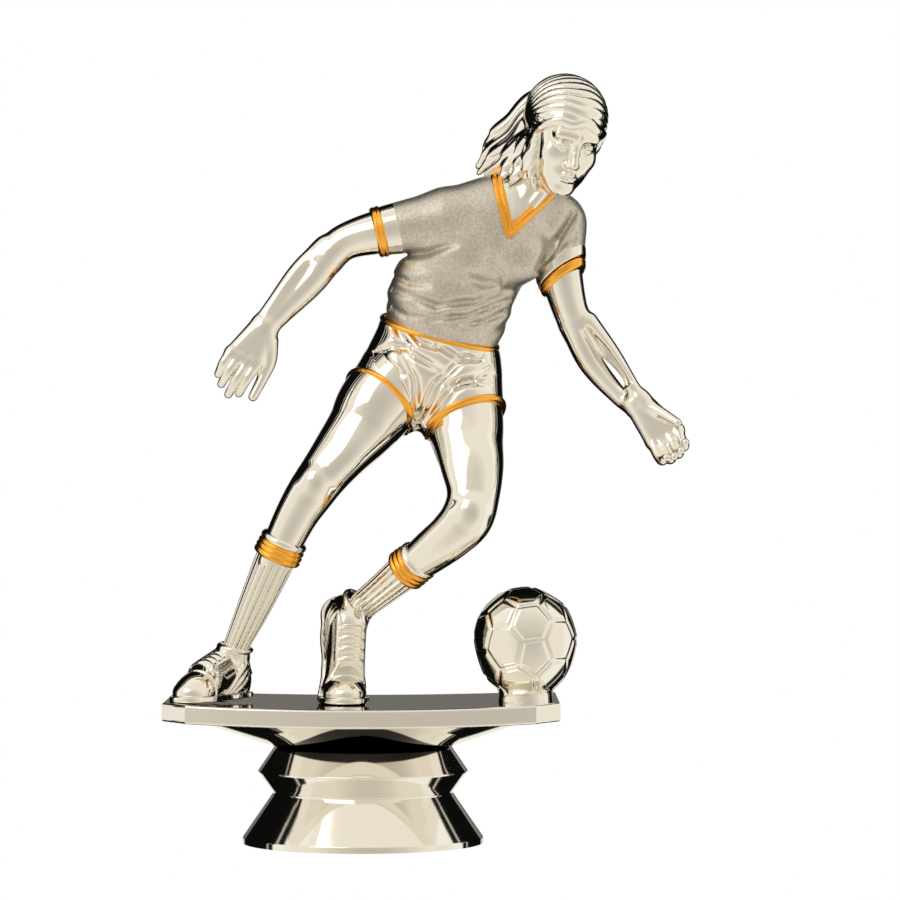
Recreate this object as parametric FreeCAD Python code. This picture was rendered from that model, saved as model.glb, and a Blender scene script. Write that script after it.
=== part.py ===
"""Figure trophy: a plated footballer leaning after a ball, on a bowed deck and a round waisted pedestal.

Row frame, millimetres: +Z up, -Y towards the viewer of the trophy, origin at the mouth of the mounting thread
under the pedestal. Left and right are the player's own, so the player's right arm lies towards -X.
The figure comes apart at its garment edges: limbs, head and boots are mouldings that plug into the clothes.
"""

import FreeCAD, Part
import math
import os

V = FreeCAD.Vector
OUT = "parts"

# ---- driving dimensions -------------------------------------------------------------------------
TOTAL_HEIGHT = 133.35            # 5 1/4 in trophy topper

# pedestal: a hollow moulding turned about Z, open underneath
FOOT_R, FOOT_RIM = 20.8, 1.0
NECK_R, NECK_Z = 15.5, 8.7
RING_R, RING_Z = 18.2, 12.4
PEDESTAL_TOP_R, PEDESTAL_TOP_Z = 15.4, 16.5
PEDESTAL_WALL = 1.7
WEB = 2.4                        # thickness of the pedestal's closed top
BOSS_R = 8.3
ROD_CLEARANCE_R = 3.4            # for a 1/4 in rod above the nut
RIB_COUNT, RIB_THICKNESS = 3, 1.4
PEDESTAL_FILLET = 0.3

# captive mounting nut, 1/4-20 UNC: the bore is at the thread's minor diameter
NUT_FLATS, NUT_HEIGHT, NUT_BORE_R = 11.11, 5.56, 2.55
NUT_CHAMFER = 0.5

# deck: a slab with bowed long edges and cut corners, its ends a little higher than its middle
DECK_TOP_Z = 24.2                # top face at the middle
DECK_EDGE = 3.2
DECK_HALF_LENGTH = 33.8
DECK_CORNER_X = 29.6             # where a long edge meets the cut corner
DECK_CORNER_Y = 19.4             # half depth there
DECK_END_Y = 15.2                # half depth of the straight end
DECK_BOW = 2.6                   # how far a long edge bulges at its middle
DECK_RISE = 0.9                  # ends above the middle
DECK_FILLET = 0.45

# under-deck: a dished shell from the deck's plan down to the pedestal's top
UNDER_HALF_LENGTH, UNDER_HALF_DEPTH = 29.0, 18.6
UNDER_SQUARENESS = 5.0           # superellipse power of its upper edge
UNDER_WALL, UNDER_FLOOR = 1.6, 1.7
SPIGOT_R, SPIGOT_DEPTH = 9.0, 1.1
POST_R = 2.6                     # screw posts under the deck

# self-tapping screws from inside the pedestal, up through the under-deck into the posts
SCREW_COUNT, SCREW_CIRCLE_R = 3, 11.3
SCREW_R, SCREW_LENGTH = 1.25, 7.4
SCREW_HEAD_R, SCREW_HEAD = 2.2, 1.5

PEG_R, PEG_LENGTH = 1.5, 2.4     # moulded pegs of the boots and the ball, glued into the deck
GARMENT_WALL = 1.2

# ball
BALL_R = 8.9
BALL_X, BALL_Y = 28.0, -6.5
BALL_SEAT_R = 3.9                # the short round foot that joins ball and deck
BALL_SEAT = 2.8

# player: joint centres
WAIST = V(13.4, 0.0, 88.8)
NECK = V(27.4, -3.4, 112.5)
HEAD = V(35.2, -6.4, 123.4)
SHOULDER = {"right": V(13.6, -4.6, 107.6), "left": V(34.0, 1.6, 107.2)}
SLEEVE_END = {"right": V(4.4, -5.2, 105.4), "left": V(34.6, 2.2, 98.2)}
ELBOW = {"right": V(-5.9, -4.6, 102.4), "left": V(38.2, 3.2, 88.6)}
WRIST = {"right": V(-15.9, -7.6, 88.4), "left": V(48.0, -1.0, 75.8)}
FINGERTIP = {"right": V(-23.4, -10.2, 77.6), "left": V(53.6, -5.0, 65.2)}
HIP = {"right": V(6.6, 0.8, 83.2), "left": V(17.4, 0.8, 82.0)}
HEM = {"right": V(2.8, -2.4, 76.4), "left": V(17.6, -3.0, 73.4)}
KNEE = {"right": V(-8.3, -8.6, 61.6), "left": V(18.4, -12.0, 56.2)}
CUFF = {"right": V(-13.6, -6.4, 51.6), "left": V(9.8, -8.0, 49.0)}
ANKLE = {"right": V(-21.9, -2.2, 33.4), "left": V(-1.9, 0.6, 39.8)}
BOOT_TURN = 53.0                 # the right boot points this far from -X towards -Y

# head and its attitude, degrees
HEAD_WIDTH, HEAD_DEPTH, HEAD_HEIGHT = 12.6, 15.6, 18.0
HEAD_PITCH, HEAD_ROLL, HEAD_YAW = 22.0, 8.0, 14.0
HAIR = 1.7                       # thickness of the hair over the skull


# ---- small helpers ------------------------------------------------------------------------------
def deck_top(x):
    """Height of the deck's top face at x."""
    return DECK_TOP_Z + DECK_RISE * (x / DECK_HALF_LENGTH) ** 2


def cylinder(base, axis, radius, length):
    return Part.makeCylinder(radius, length, base, axis)


def ball(centre, radius):
    return Part.makeSphere(radius, centre)


def cone(start, end, start_r, end_r):
    """A straight tapered round bar."""
    axis = end - start
    if abs(start_r - end_r) < 1e-6:
        return Part.makeCylinder(start_r, axis.Length, start, axis)
    return Part.makeCone(start_r, end_r, axis.Length, start, axis)


def turned(profile):
    """A solid of revolution about Z from its (radius, z) outline."""
    points = [V(r, 0, z) for r, z in profile]
    wire = Part.makePolygon(points + points[:1])
    return Part.Face(wire).revolve(V(0, 0, 0), V(0, 0, 1), 360)


def joined(shapes):
    """One solid from several that overlap."""
    whole = shapes[0].multiFuse(shapes[1:]) if len(shapes) > 1 else shapes[0]
    return whole.removeSplitter()


def turn(yaw=0.0, roll=0.0, pitch=0.0):
    """Attitude that yaws about Z, then rolls about Y, then pitches about X, in degrees."""
    yawed = FreeCAD.Rotation(V(0, 0, 1), yaw)
    rolled = FreeCAD.Rotation(V(0, 1, 0), roll)
    pitched = FreeCAD.Rotation(V(1, 0, 0), pitch)
    return yawed.multiply(rolled).multiply(pitched)


def ellipsoid(centre, half_sizes, attitude=FreeCAD.Rotation()):
    stretch = FreeCAD.Matrix()
    stretch.scale(V(*half_sizes))
    shape = Part.makeSphere(1.0).transformGeometry(stretch)
    shape.Placement = FreeCAD.Placement(centre, attitude)
    return shape


def oval(centre, normal, across, half_across, half_other, power=2.0, count=16):
    """A closed superellipse wire about centre; across is the direction of half_across."""
    normal = V(normal).normalize()
    side = (across - normal * across.dot(normal)).normalize()
    other = normal.cross(side)
    points = []
    for i in range(count):
        angle = 2 * math.pi * i / count
        c, s = math.cos(angle), math.sin(angle)
        u = math.copysign(abs(c) ** (2 / power), c) * half_across
        w = math.copysign(abs(s) ** (2 / power), s) * half_other
        points.append(centre + side * u + other * w)
    curve = Part.BSplineCurve()
    curve.interpolate(Points=points, PeriodicFlag=True)
    return Part.Wire([curve.toShape()])


def lofted(wires):
    return Part.makeLoft(wires, True, False)


def limb(stations, across, power=2.0):
    """A smooth round limb through (centre, half_across, half_other) stations."""
    wires = []
    for i, (centre, half_across, half_other) in enumerate(stations):
        before = stations[max(i - 1, 0)][0]
        after = stations[min(i + 1, len(stations) - 1)][0]
        wires.append(oval(centre, after - before, across, half_across, half_other, power))
    return lofted(wires)


def between(a, b, share):
    return a + (b - a) * share


def band(centre, normal, across, half_across, half_other, width, thickness, grow=0.0):
    """A short oval ring that hugs a limb or garment; grow widens its far end."""
    n = V(normal).normalize()
    low, high = centre - n * (width / 2), centre + n * (width / 2)
    outer = lofted([oval(low, n, across, half_across, half_other),
                    oval(high, n, across, half_across + grow, half_other + grow)])
    inner = lofted([oval(low - n, n, across, half_across - thickness, half_other - thickness),
                    oval(high + n, n, across, half_across - thickness + grow,
                         half_other - thickness + grow)])
    return outer.cut(inner)


# ---- pedestal, deck and fasteners ---------------------------------------------------------------
def pedestal():
    top = PEDESTAL_TOP_Z
    outer = turned([(0, 0), (FOOT_R, 0), (FOOT_R, FOOT_RIM), (NECK_R, NECK_Z),
                    (RING_R, RING_Z), (PEDESTAL_TOP_R, top), (0, top)])
    rims = [e for e in outer.Edges if isinstance(e.Curve, Part.Circle) and e.Closed and e.CenterOfMass.z > 0.5]
    outer = outer.makeFillet(PEDESTAL_FILLET, rims)
    inside = [(0, -1), (FOOT_R - PEDESTAL_WALL, -1), (FOOT_R - PEDESTAL_WALL, 0.6),
              (NECK_R - PEDESTAL_WALL, NECK_Z), (PEDESTAL_TOP_R - PEDESTAL_WALL, top - WEB),
              (0, top - WEB)]
    shell = outer.cut(turned(inside))
    boss = cylinder(V(0, 0, 0), V(0, 0, 1), BOSS_R, top - WEB)
    pieces = [shell, boss]
    for i in range(RIB_COUNT):
        rib = Part.makeBox(NECK_R - PEDESTAL_WALL - BOSS_R + 1.6, RIB_THICKNESS, top - WEB - 2.0,
                           V(BOSS_R - 0.8, -RIB_THICKNESS / 2, 2.0))
        rib.rotate(V(0, 0, 0), V(0, 0, 1), 30 + 360 / RIB_COUNT * i)
        pieces.append(rib)
    body = joined(pieces)
    body = body.cut(hexagon(NUT_FLATS, 0, NUT_HEIGHT))
    body = body.cut(cylinder(V(0, 0, NUT_HEIGHT - 0.01), V(0, 0, 1), ROD_CLEARANCE_R, 8.0))
    body = body.cut(cylinder(V(0, 0, top - SPIGOT_DEPTH), V(0, 0, 1), SPIGOT_R, SPIGOT_DEPTH + 1))
    for x, y in screw_places():
        body = body.cut(cylinder(V(x, y, 0), V(0, 0, 1), SCREW_R + 0.15, top + 1))
    return body


def hexagon(flats, z, height):
    radius = flats / math.sqrt(3)
    corners = [V(radius * math.cos(math.radians(60 * i)), radius * math.sin(math.radians(60 * i)), z)
               for i in range(6)]
    return Part.Face(Part.makePolygon(corners + corners[:1])).extrude(V(0, 0, height))


def mounting_nut():
    nut = hexagon(NUT_FLATS, 0, NUT_HEIGHT)
    corner_r = NUT_FLATS / math.sqrt(3)
    blank = turned([(0, 0), (corner_r - NUT_CHAMFER, 0), (corner_r + 0.1, NUT_CHAMFER * 0.7),
                    (corner_r + 0.1, NUT_HEIGHT), (0, NUT_HEIGHT)])
    return nut.common(blank).cut(cylinder(V(0, 0, -1), V(0, 0, 1), NUT_BORE_R, NUT_HEIGHT + 2))


def deck_outline(inset=0.0):
    """The deck's plan as a wire at z 0: bowed long edges, cut corners, straight ends."""
    ex, ey = DECK_HALF_LENGTH - inset, DECK_END_Y - inset / 2
    cx, cy = DECK_CORNER_X - inset / 2, DECK_CORNER_Y - inset
    middle = DECK_CORNER_Y + DECK_BOW - inset
    edges = [Part.makeLine(V(ex, -ey, 0), V(ex, ey, 0)),
             Part.makeLine(V(ex, ey, 0), V(cx, cy, 0)),
             Part.Arc(V(cx, cy, 0), V(0, middle, 0), V(-cx, cy, 0)).toShape(),
             Part.makeLine(V(-cx, cy, 0), V(-ex, ey, 0)),
             Part.makeLine(V(-ex, ey, 0), V(-ex, -ey, 0)),
             Part.makeLine(V(-ex, -ey, 0), V(-cx, -cy, 0)),
             Part.Arc(V(-cx, -cy, 0), V(0, -middle, 0), V(cx, -cy, 0)).toShape(),
             Part.makeLine(V(cx, -cy, 0), V(ex, -ey, 0))]
    return Part.Wire(edges)


def curved_slab(drop, thickness):
    """A slab under the deck's top face, following its rise towards the ends."""
    reach = DECK_HALF_LENGTH + 2
    depth = DECK_CORNER_Y + DECK_BOW + 2
    top_end = deck_top(reach) - drop
    top_mid = DECK_TOP_Z - drop

    def arc(end, mid):
        return Part.Arc(V(-reach, -depth, end), V(0, -depth, mid), V(reach, -depth, end)).toShape()

    upper, lower = arc(top_end, top_mid), arc(top_end - thickness, top_mid - thickness)
    sides = [Part.makeLine(V(x, -depth, top_end - thickness), V(x, -depth, top_end))
             for x in (-reach, reach)]
    wire = Part.Wire(Part.__sortEdges__([upper, lower] + sides))
    return Part.Face(wire).extrude(V(0, 2 * depth, 0))


def deck_block(inset=0.0, drop=0.0, thickness=DECK_EDGE):
    prism = Part.Face(deck_outline(inset)).extrude(V(0, 0, DECK_TOP_Z + 10))
    return prism.common(curved_slab(drop, thickness))


def deck():
    slab = deck_block()
    rims = [e for f in slab.Faces for e in f.Edges
            if abs(f.normalAt(*f.Surface.parameter(f.CenterOfMass)).z) > 0.9]
    slab = slab.makeFillet(DECK_FILLET, rims)
    floor = PEDESTAL_TOP_Z + UNDER_FLOOR
    posts = [cylinder(V(x, y, floor), V(0, 0, 1), POST_R, DECK_TOP_Z - 1.5 - floor)
             for x, y in screw_places()]
    body = joined([slab] + posts)
    for x, y in screw_places():
        body = body.cut(cylinder(V(x, y, floor - 1), V(0, 0, 1), SCREW_R, SCREW_LENGTH - 0.6))
    return body


def screw_places():
    return [(SCREW_CIRCLE_R * math.cos(a), SCREW_CIRCLE_R * math.sin(a))
            for a in (math.radians(90 + 360 / SCREW_COUNT * i) for i in range(SCREW_COUNT))]


def under_deck():
    """A dished shell: nearly the deck's plan at its open top, a circle on the pedestal."""
    foot_z, brim_z = PEDESTAL_TOP_Z, DECK_TOP_Z - DECK_EDGE + DECK_RISE
    up, along = V(0, 0, 1), V(1, 0, 0)

    def funnel(wall, z_low, z_high):
        low = PEDESTAL_TOP_R - wall
        return lofted([oval(V(0, 0, z_low), up, along, low, low, 2.0, 24),
                       oval(V(0, 0, z_high), up, along, UNDER_HALF_LENGTH - wall * 1.6,
                            UNDER_HALF_DEPTH - wall * 1.2, UNDER_SQUARENESS, 24)])

    shell = funnel(0, foot_z, brim_z)
    hollow = funnel(UNDER_WALL, foot_z + UNDER_FLOOR, brim_z + 0.5)
    spigot = cylinder(V(0, 0, foot_z - SPIGOT_DEPTH), up, SPIGOT_R, SPIGOT_DEPTH + 0.2)
    body = joined([shell.cut(hollow), spigot])
    body = body.cut(curved_slab(DECK_EDGE - 1.0, 1.0)).cut(curved_slab(0, DECK_EDGE))
    for x, y in screw_places():
        body = body.cut(cylinder(V(x, y, foot_z - 2), up, SCREW_R + 0.15, 6))
    return body


def deck_screws():
    """Three pan-head screws that clamp pedestal, under-deck and deck."""
    screws = []
    under_web = PEDESTAL_TOP_Z - WEB
    for x, y in screw_places():
        head = cylinder(V(x, y, under_web - SCREW_HEAD), V(0, 0, 1), SCREW_HEAD_R, SCREW_HEAD)
        slots = [Part.makeBox(2.4, 0.5, 0.7, V(x - 1.2, y - 0.25, under_web - SCREW_HEAD)),
                 Part.makeBox(0.5, 2.4, 0.7, V(x - 0.25, y - 1.2, under_web - SCREW_HEAD))]
        shank = cylinder(V(x, y, under_web - 0.1), V(0, 0, 1), SCREW_R, SCREW_LENGTH)
        screws.append(joined([head.cut(slots[0]).cut(slots[1]), shank]))
    return Part.makeCompound(screws)


# ---- ball ---------------------------------------------------------------------------------------
def football():
    """The ball with its short seat and the peg that is glued into the deck."""
    floor = deck_top(BALL_X)
    centre = V(BALL_X, BALL_Y, floor + BALL_SEAT + BALL_R - 0.9)
    seat = cone(V(BALL_X, BALL_Y, floor - 1), V(BALL_X, BALL_Y, centre.z - BALL_R * 0.7),
                BALL_SEAT_R, BALL_R * 0.62)
    return joined([ball(centre, BALL_R), seat]), V(BALL_X, BALL_Y, floor)


# ---- player: clothes ----------------------------------------------------------------------------
def shirt_wires(shrink=0.0):
    """Level sections of the shirt from hem to collar: centre, half width, half depth, yaw."""
    levels = [(WAIST + V(0, 0, -1.6), 9.0, 6.2, 2),
              (WAIST + V(0.6, -0.3, 3.0), 10.3, 6.7, 5),
              (WAIST + V(1.9, -0.9, 6.8), 11.1, 7.3, 8),
              (WAIST + V(5.0, -1.8, 11.2), 11.6, 8.0, 12),
              (WAIST + V(7.4, -2.2, 15.2), 11.4, 7.6, 15),
              (WAIST + V(9.6, -2.4, 18.8), 10.4, 6.4, 17),
              (WAIST + V(11.6, -2.6, 21.8), 8.0, 5.0, 17),
              (WAIST + V(13.2, -2.8, 24.2), 4.9, 3.9, 17)]
    wires = []
    for centre, half_width, half_depth, yaw in levels:
        across = V(math.cos(math.radians(yaw)), math.sin(math.radians(yaw)), 0)
        wires.append(oval(centre, V(0.06, 0, 1), across, half_width - shrink,
                          half_depth - shrink, 2.3))
    return wires


def sleeve(side):
    """A short tapered sleeve from the shoulder to its cuff."""
    start, end = SHOULDER[side], SLEEVE_END[side]
    across = V(0, 1, 0)
    root = between(start, end, -0.35)
    return limb([(root, 3.6, 4.6), (between(start, end, 0.1), 4.7, 5.3),
                 (between(start, end, 0.55), 4.5, 4.9), (end, 4.0, 4.25)], across)


def shirt():
    """Front and back halves of the hollow shirt, glued at the side seam plane."""
    body = joined([lofted(shirt_wires()), ball(SHOULDER["right"], 4.9), ball(SHOULDER["left"], 4.8),
                   sleeve("right"), sleeve("left")])
    body = body.cut(lofted(shirt_wires(GARMENT_WALL)[1:-1]))
    return body


def halves(body):
    """Cuts a garment at the figure's side seams; returns its front and its back."""
    reach = 60
    lean = math.degrees(math.atan2(SHOULDER["left"].y - SHOULDER["right"].y,
                                   SHOULDER["left"].x - SHOULDER["right"].x))
    front = Part.makeBox(2 * reach, reach, 2 * reach, V(-reach, -reach, -reach))
    seam = between(SHOULDER["right"], SHOULDER["left"], 0.5)
    front.Placement = FreeCAD.Placement(seam, FreeCAD.Rotation(V(0, 0, 1), lean * 0.7))
    return body.common(front), body.cut(front)


def collar_path():
    """Corner points of the V neck on the shirt's front: right top, point, left top."""
    return [V(22.0, -4.6, 114.0), V(26.0, -10.4, 104.2), V(33.2, -4.6, 112.6)]


def collar_trim():
    """The raised V band of the neck opening."""
    right, point, left = collar_path()
    bars = []
    for end in (right, left):
        run = end - point
        side = run.cross(V(0, -1, 0.35)).normalize()
        wire = Part.makePolygon([point - side * 0.8, point + side * 0.8,
                                 end + side * 0.8, end - side * 0.8, point - side * 0.8])
        bars.append(Part.Face(wire).extrude(run.cross(side).normalize() * 1.1))
    return joined(bars + [ball(point, 0.9)])


def shorts():
    """Waist to both hems, hollow for the thighs."""
    levels = [(WAIST + V(-0.6, 0.2, -0.4), 9.7, 6.7), (WAIST + V(-1.2, 0.6, -4.0), 11.2, 8.0),
              (WAIST + V(-1.6, 0.8, -8.0), 12.2, 8.6), (WAIST + V(-1.4, 0.4, -12.6), 10.4, 7.4)]
    hips = lofted([oval(c, V(0.2, 0, 1), V(1, 0, 0), a, b, 2.4) for c, a, b in levels])
    legs = []
    for side in ("right", "left"):
        legs.append(limb([(between(HIP[side], HEM[side], -0.3), 5.6, 6.2),
                          (between(HIP[side], HEM[side], 0.4), 6.8, 7.2),
                          (HEM[side], 7.1, 7.3)], V(1, 0, 0)))
    return joined([hips] + legs)


def sock_cuff(side):
    """The turned-down top of a sock: three raised rings on a sleeve."""
    axis = (ANKLE[side] - CUFF[side]).normalize()
    rings = []
    for i in range(3):
        centre = CUFF[side] + axis * (1.5 * i)
        rings.append(band(centre, axis, V(1, 0, 0), 4.35 - 0.18 * i, 4.35 - 0.18 * i, 1.3, 1.0))
    rings.append(band(CUFF[side] + axis * 1.4, axis, V(1, 0, 0), 3.9, 3.9, 4.0, 0.7))
    return joined(rings)


# ---- player: limbs and head -------------------------------------------------------------------------------
def thigh(side):
    """The bare leg from inside the shorts over the knee to the sock's cuff."""
    hip, knee, cuff = HIP[side], KNEE[side], CUFF[side]
    upper = limb([(hip, 5.4, 5.6), (between(hip, knee, 0.3), 6.1, 6.4), (between(hip, knee, 0.6), 5.1, 5.5),
                  (between(hip, knee, 0.85), 4.4, 4.7), (knee, 4.1, 4.2)], V(1, 0, 0))
    return joined([upper, ball(knee, 4.25), cone(knee, cuff, 4.0, 3.3)])


def sock(side):
    cuff, ankle = CUFF[side], ANKLE[side]
    axis = (ankle - cuff).normalize()
    stations = [(cuff, 3.2, 3.2), (cuff + axis * 2.5, 3.4, 3.6), (between(cuff, ankle, 0.45), 3.1, 3.4),
                (between(cuff, ankle, 0.8), 2.4, 2.6), (ankle, 2.25, 2.4)]
    return limb(stations, V(1, 0, 0))


def boot_right():
    """Flat on the deck, its toe towards the deck's front corner."""
    turn_r = math.radians(BOOT_TURN)
    toe_way = V(-math.cos(turn_r), -math.sin(turn_r), 0)
    side_way = V(toe_way.y, -toe_way.x, 0)
    floor = deck_top(-27)
    heel = V(ANKLE["right"].x, ANKLE["right"].y, floor) - toe_way * 4.2

    def station(along, half_width, height, lift=0.0):
        centre = heel + toe_way * along + V(0, 0, lift + height / 2)
        return oval(centre, toe_way, side_way, half_width, height / 2, 2.6)

    last = lofted([station(0.0, 1.6, 4.2), station(1.6, 2.7, 6.6), station(5.0, 2.9, 7.8),
                   station(9.0, 3.0, 6.6), station(13.0, 3.7, 4.9), station(16.6, 3.5, 4.0),
                   station(18.6, 2.2, 2.6)])
    ankle = cone(V(heel.x, heel.y, floor + 4) + toe_way * 4.0, ANKLE["right"] + V(0, 0, 0.4), 3.0, 2.9)
    return joined([last, ankle])


def boot_left():
    """Up on its toe: the foot stands nearly vertical, its toes flat on the deck."""
    ankle = ANKLE["left"]
    heel = ankle + V(-2.7, 2.0, 0.2)
    instep = ankle + V(-1.5, 0.2, 0.7)
    toe_ball = V(ankle.x - 1.3, -3.0, deck_top(0) + 3.9)
    toe_tip = toe_ball + V(-0.1, -6.5, -2.2)
    pieces = [ball(heel, 3.0), ball(instep, 3.4), cone(instep, toe_ball, 3.2, 3.35), ball(toe_ball, 3.65),
              cone(heel, toe_ball, 2.7, 2.8), cone(toe_ball, toe_tip, 3.2, 1.8), ball(toe_tip, 2.0),
              cone(ankle + V(-0.6, 0.4, -0.6), ankle + V(2.3, -1.4, 1.8), 2.95, 2.85)]
    return joined(pieces)


def hand(wrist, tip, across, width=3.5):
    """A palm with four fingers; the thumb comes from the caller."""
    way = (tip - wrist).normalize()
    length = (tip - wrist).Length
    side = (across - way * across.dot(way)).normalize()
    palm = lofted([oval(wrist, way, side, 2.0, 1.6), oval(wrist + way * length * 0.22, way, side, 2.9, 1.6),
                   oval(wrist + way * length * 0.48, way, side, width, 1.4, 2.6),
                   oval(wrist + way * length * 0.56, way, side, width - 0.3, 1.0, 2.6)])
    fingers = [palm]
    for i, reach in enumerate((0.93, 1.0, 0.97, 0.84)):
        offset = side * ((i - 1.5) * 1.62)
        root, end = wrist + way * length * 0.5 + offset, wrist + way * (length * reach - 0.7) + offset * 1.15
        fingers += [cone(root, end, 0.85, 0.7), ball(end, 0.7)]
    return fingers, side, way, length


def arm(side):
    shoulder, cuff = SHOULDER[side], SLEEVE_END[side]
    elbow, wrist = ELBOW[side], WRIST[side]
    across = V(0, 1, 0)
    stations = [(between(cuff, shoulder, 0.55), 3.0, 3.2), (cuff, 3.3, 3.5),
                (between(cuff, elbow, 0.6), 3.1, 3.2), (elbow, 3.0, 3.2),
                (between(elbow, wrist, 0.3), 3.0, 3.1), (between(elbow, wrist, 0.75), 2.3, 2.5),
                (wrist, 1.9, 2.2)]
    across_hand = V(0.8, 0.2, -0.5) if side == "right" else V(0.75, 0.2, 0.6)
    fingers, thumb_side, way, length = hand(wrist, FINGERTIP[side], across_hand)
    thumb_root = wrist + way * length * 0.18 + thumb_side * 2.0
    thumb_tip = wrist + way * length * 0.66 + thumb_side * 4.6
    return joined([limb(stations, across)] + fingers +
                  [cone(thumb_root, thumb_tip, 1.2, 0.75), ball(thumb_tip, 0.75)])


def head_attitude():
    return turn(HEAD_YAW, HEAD_ROLL, HEAD_PITCH)


def head():
    """Skull, jaw and neck; the neck's end plugs into the shirt."""
    place = head_attitude()
    skull = ellipsoid(HEAD + place.multVec(V(0, 0.6, 1.8)),
                      (HEAD_WIDTH / 2, HEAD_DEPTH / 2, HEAD_HEIGHT * 0.39), place)
    jaw = ellipsoid(HEAD + place.multVec(V(0, -2.4, -4.4)),
                    (HEAD_WIDTH * 0.38, HEAD_DEPTH * 0.3, HEAD_HEIGHT * 0.27), place)
    neck = cone(NECK + V(-1.6, 0.6, -3.6), HEAD + place.multVec(V(0, 1.6, -3.0)), 3.3, 3.2)
    return joined([skull, jaw, neck])


def hair():
    """A cap over the skull with the long hair swept back over the right shoulder."""
    place = head_attitude()
    cap = ellipsoid(HEAD + place.multVec(V(0, 0.9, 2.1)),
                    (HEAD_WIDTH / 2 + HAIR, HEAD_DEPTH / 2 + HAIR, HEAD_HEIGHT * 0.39 + HAIR), place)
    window = ellipsoid(HEAD + place.multVec(V(0, -9.4, -2.6)), (5.9, 7.2, 7.0), place)
    start = HEAD + V(-5.6, 2.6, 1.6)
    tail = limb([(start + V(2.4, 0, 2.0), 3.4, 4.4), (start, 4.2, 5.0),
                 (start + V(-3.6, 0.6, -4.4), 3.9, 3.8), (start + V(-6.6, 0.4, -7.8), 3.0, 2.4),
                 (start + V(-9.0, 0.2, -9.6), 1.4, 1.0)], V(0, 1, 0))
    return joined([cap.cut(window), tail.cut(window)])


def scaled_to_top(shape):
    """Lifts the hair so that its crown is exactly at the trophy's height."""
    lift = TOTAL_HEIGHT - shape.optimalBoundingBox(True, False).ZMax
    return shape.translated(V(0, 0, lift))


# ---- assembly -----------------------------------------------------------------------------------
def export(name, shape):
    solids = shape.Solids
    whole = solids[0] if len(solids) == 1 else Part.makeCompound(solids)
    box = whole.optimalBoundingBox(True, False)
    print(f"{name:22s} solids {len(solids)} valid {whole.isValid()} volume {whole.Volume:9.1f}"
          f"  x {box.XMin:6.1f}..{box.XMax:6.1f} y {box.YMin:6.1f}..{box.YMax:6.1f}"
          f" z {box.ZMin:6.1f}..{box.ZMax:6.1f}")
    whole.exportStep(os.path.join(OUT, name + ".step"))


def biggest(shape):
    """The main solid of a cut, without slivers."""
    return max(shape.Solids, key=lambda s: s.Volume)


def main():
    os.makedirs(OUT, exist_ok=True)
    parts = {"pedestal": pedestal(), "mounting_nut": mounting_nut(), "under_deck": under_deck(),
             "deck_screws": deck_screws()}
    deck_plate = deck()
    ground = deck_block(0.0, 0.0, DECK_EDGE + 4)

    ball_shape, ball_place = football()
    standing = {"football": (ball_shape, ball_place)}
    standing["boot_right"] = (boot_right(), V(-24.6, -5.6, deck_top(-24.6)))
    standing["boot_left"] = (boot_left(), V(ANKLE["left"].x - 0.9, -6.0, deck_top(-3)))
    for name, (shape, place) in standing.items():
        peg = cylinder(place - V(0, 0, PEG_LENGTH), V(0, 0, 1), PEG_R, PEG_LENGTH + 0.8)
        deck_plate = deck_plate.cut(peg)
        parts[name] = joined([biggest(shape.cut(ground)), peg])
    parts["deck"] = deck_plate

    arms = {side: arm(side) for side in ("right", "left")}
    thighs = {side: thigh(side) for side in ("right", "left")}
    socks = {side: sock(side) for side in ("right", "left")}
    head_shape = head()
    hair_shape = biggest(scaled_to_top(hair()).cut(head_shape))

    shirt_body = shirt()
    shorts_body = shorts()
    for side in ("right", "left"):
        shirt_body = shirt_body.cut(arms[side])
        shorts_body = shorts_body.cut(thighs[side])
    shirt_body = shirt_body.cut(head_shape).cut(hair_shape)
    shorts_body = biggest(shorts_body.cut(lofted(shirt_wires())))
    front, back = halves(shirt_body)
    collar = collar_trim().cut(head_shape).cut(hair_shape)
    parts["collar_trim"] = biggest(collar)
    parts["shirt_front"] = biggest(front.cut(collar))
    parts["shirt_back"] = biggest(back.cut(collar))
    parts["shorts"] = shorts_body
    parts["head"], parts["hair"] = head_shape, hair_shape

    across = V(0, 1, 0)
    for side in ("right", "left"):
        cuff_way = SLEEVE_END[side] - SHOULDER[side]
        trim = band(SLEEVE_END[side] + V(cuff_way).normalize() * 0.75, cuff_way, across,
                    4.25, 4.5, 1.5, 1.1)
        parts["sleeve_trim_" + side] = biggest(trim.cut(arms[side]))
        hem_way = KNEE[side] - HIP[side]
        hem = band(HEM[side] + V(hem_way).normalize() * 0.65, hem_way, V(1, 0, 0), 7.4, 7.6, 1.3, 1.4)
        parts["shorts_hem_" + side] = biggest(hem.cut(thighs[side]))
        parts["arm_" + side] = arms[side]
        cuff = sock_cuff(side)
        sock_shape = biggest(socks[side].cut(thighs[side]))
        parts["sock_cuff_" + side] = biggest(cuff.cut(thighs[side]).cut(sock_shape))
        parts["thigh_" + side] = thighs[side]
        parts["sock_" + side] = sock_shape
        parts["boot_" + side] = biggest(parts["boot_" + side].cut(sock_shape))

    waist = band(WAIST + V(-0.5, 0.1, -1.0), V(0.2, 0, 1), V(1, 0, 0), 10.4, 7.4, 1.5, 1.3)
    parts["waistband"] = biggest(waist.cut(lofted(shirt_wires())))
    parts["shorts"] = biggest(parts["shorts"].cut(waist))

    for name in sorted(parts):
        export(name, parts[name])


main()
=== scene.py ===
import math

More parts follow.
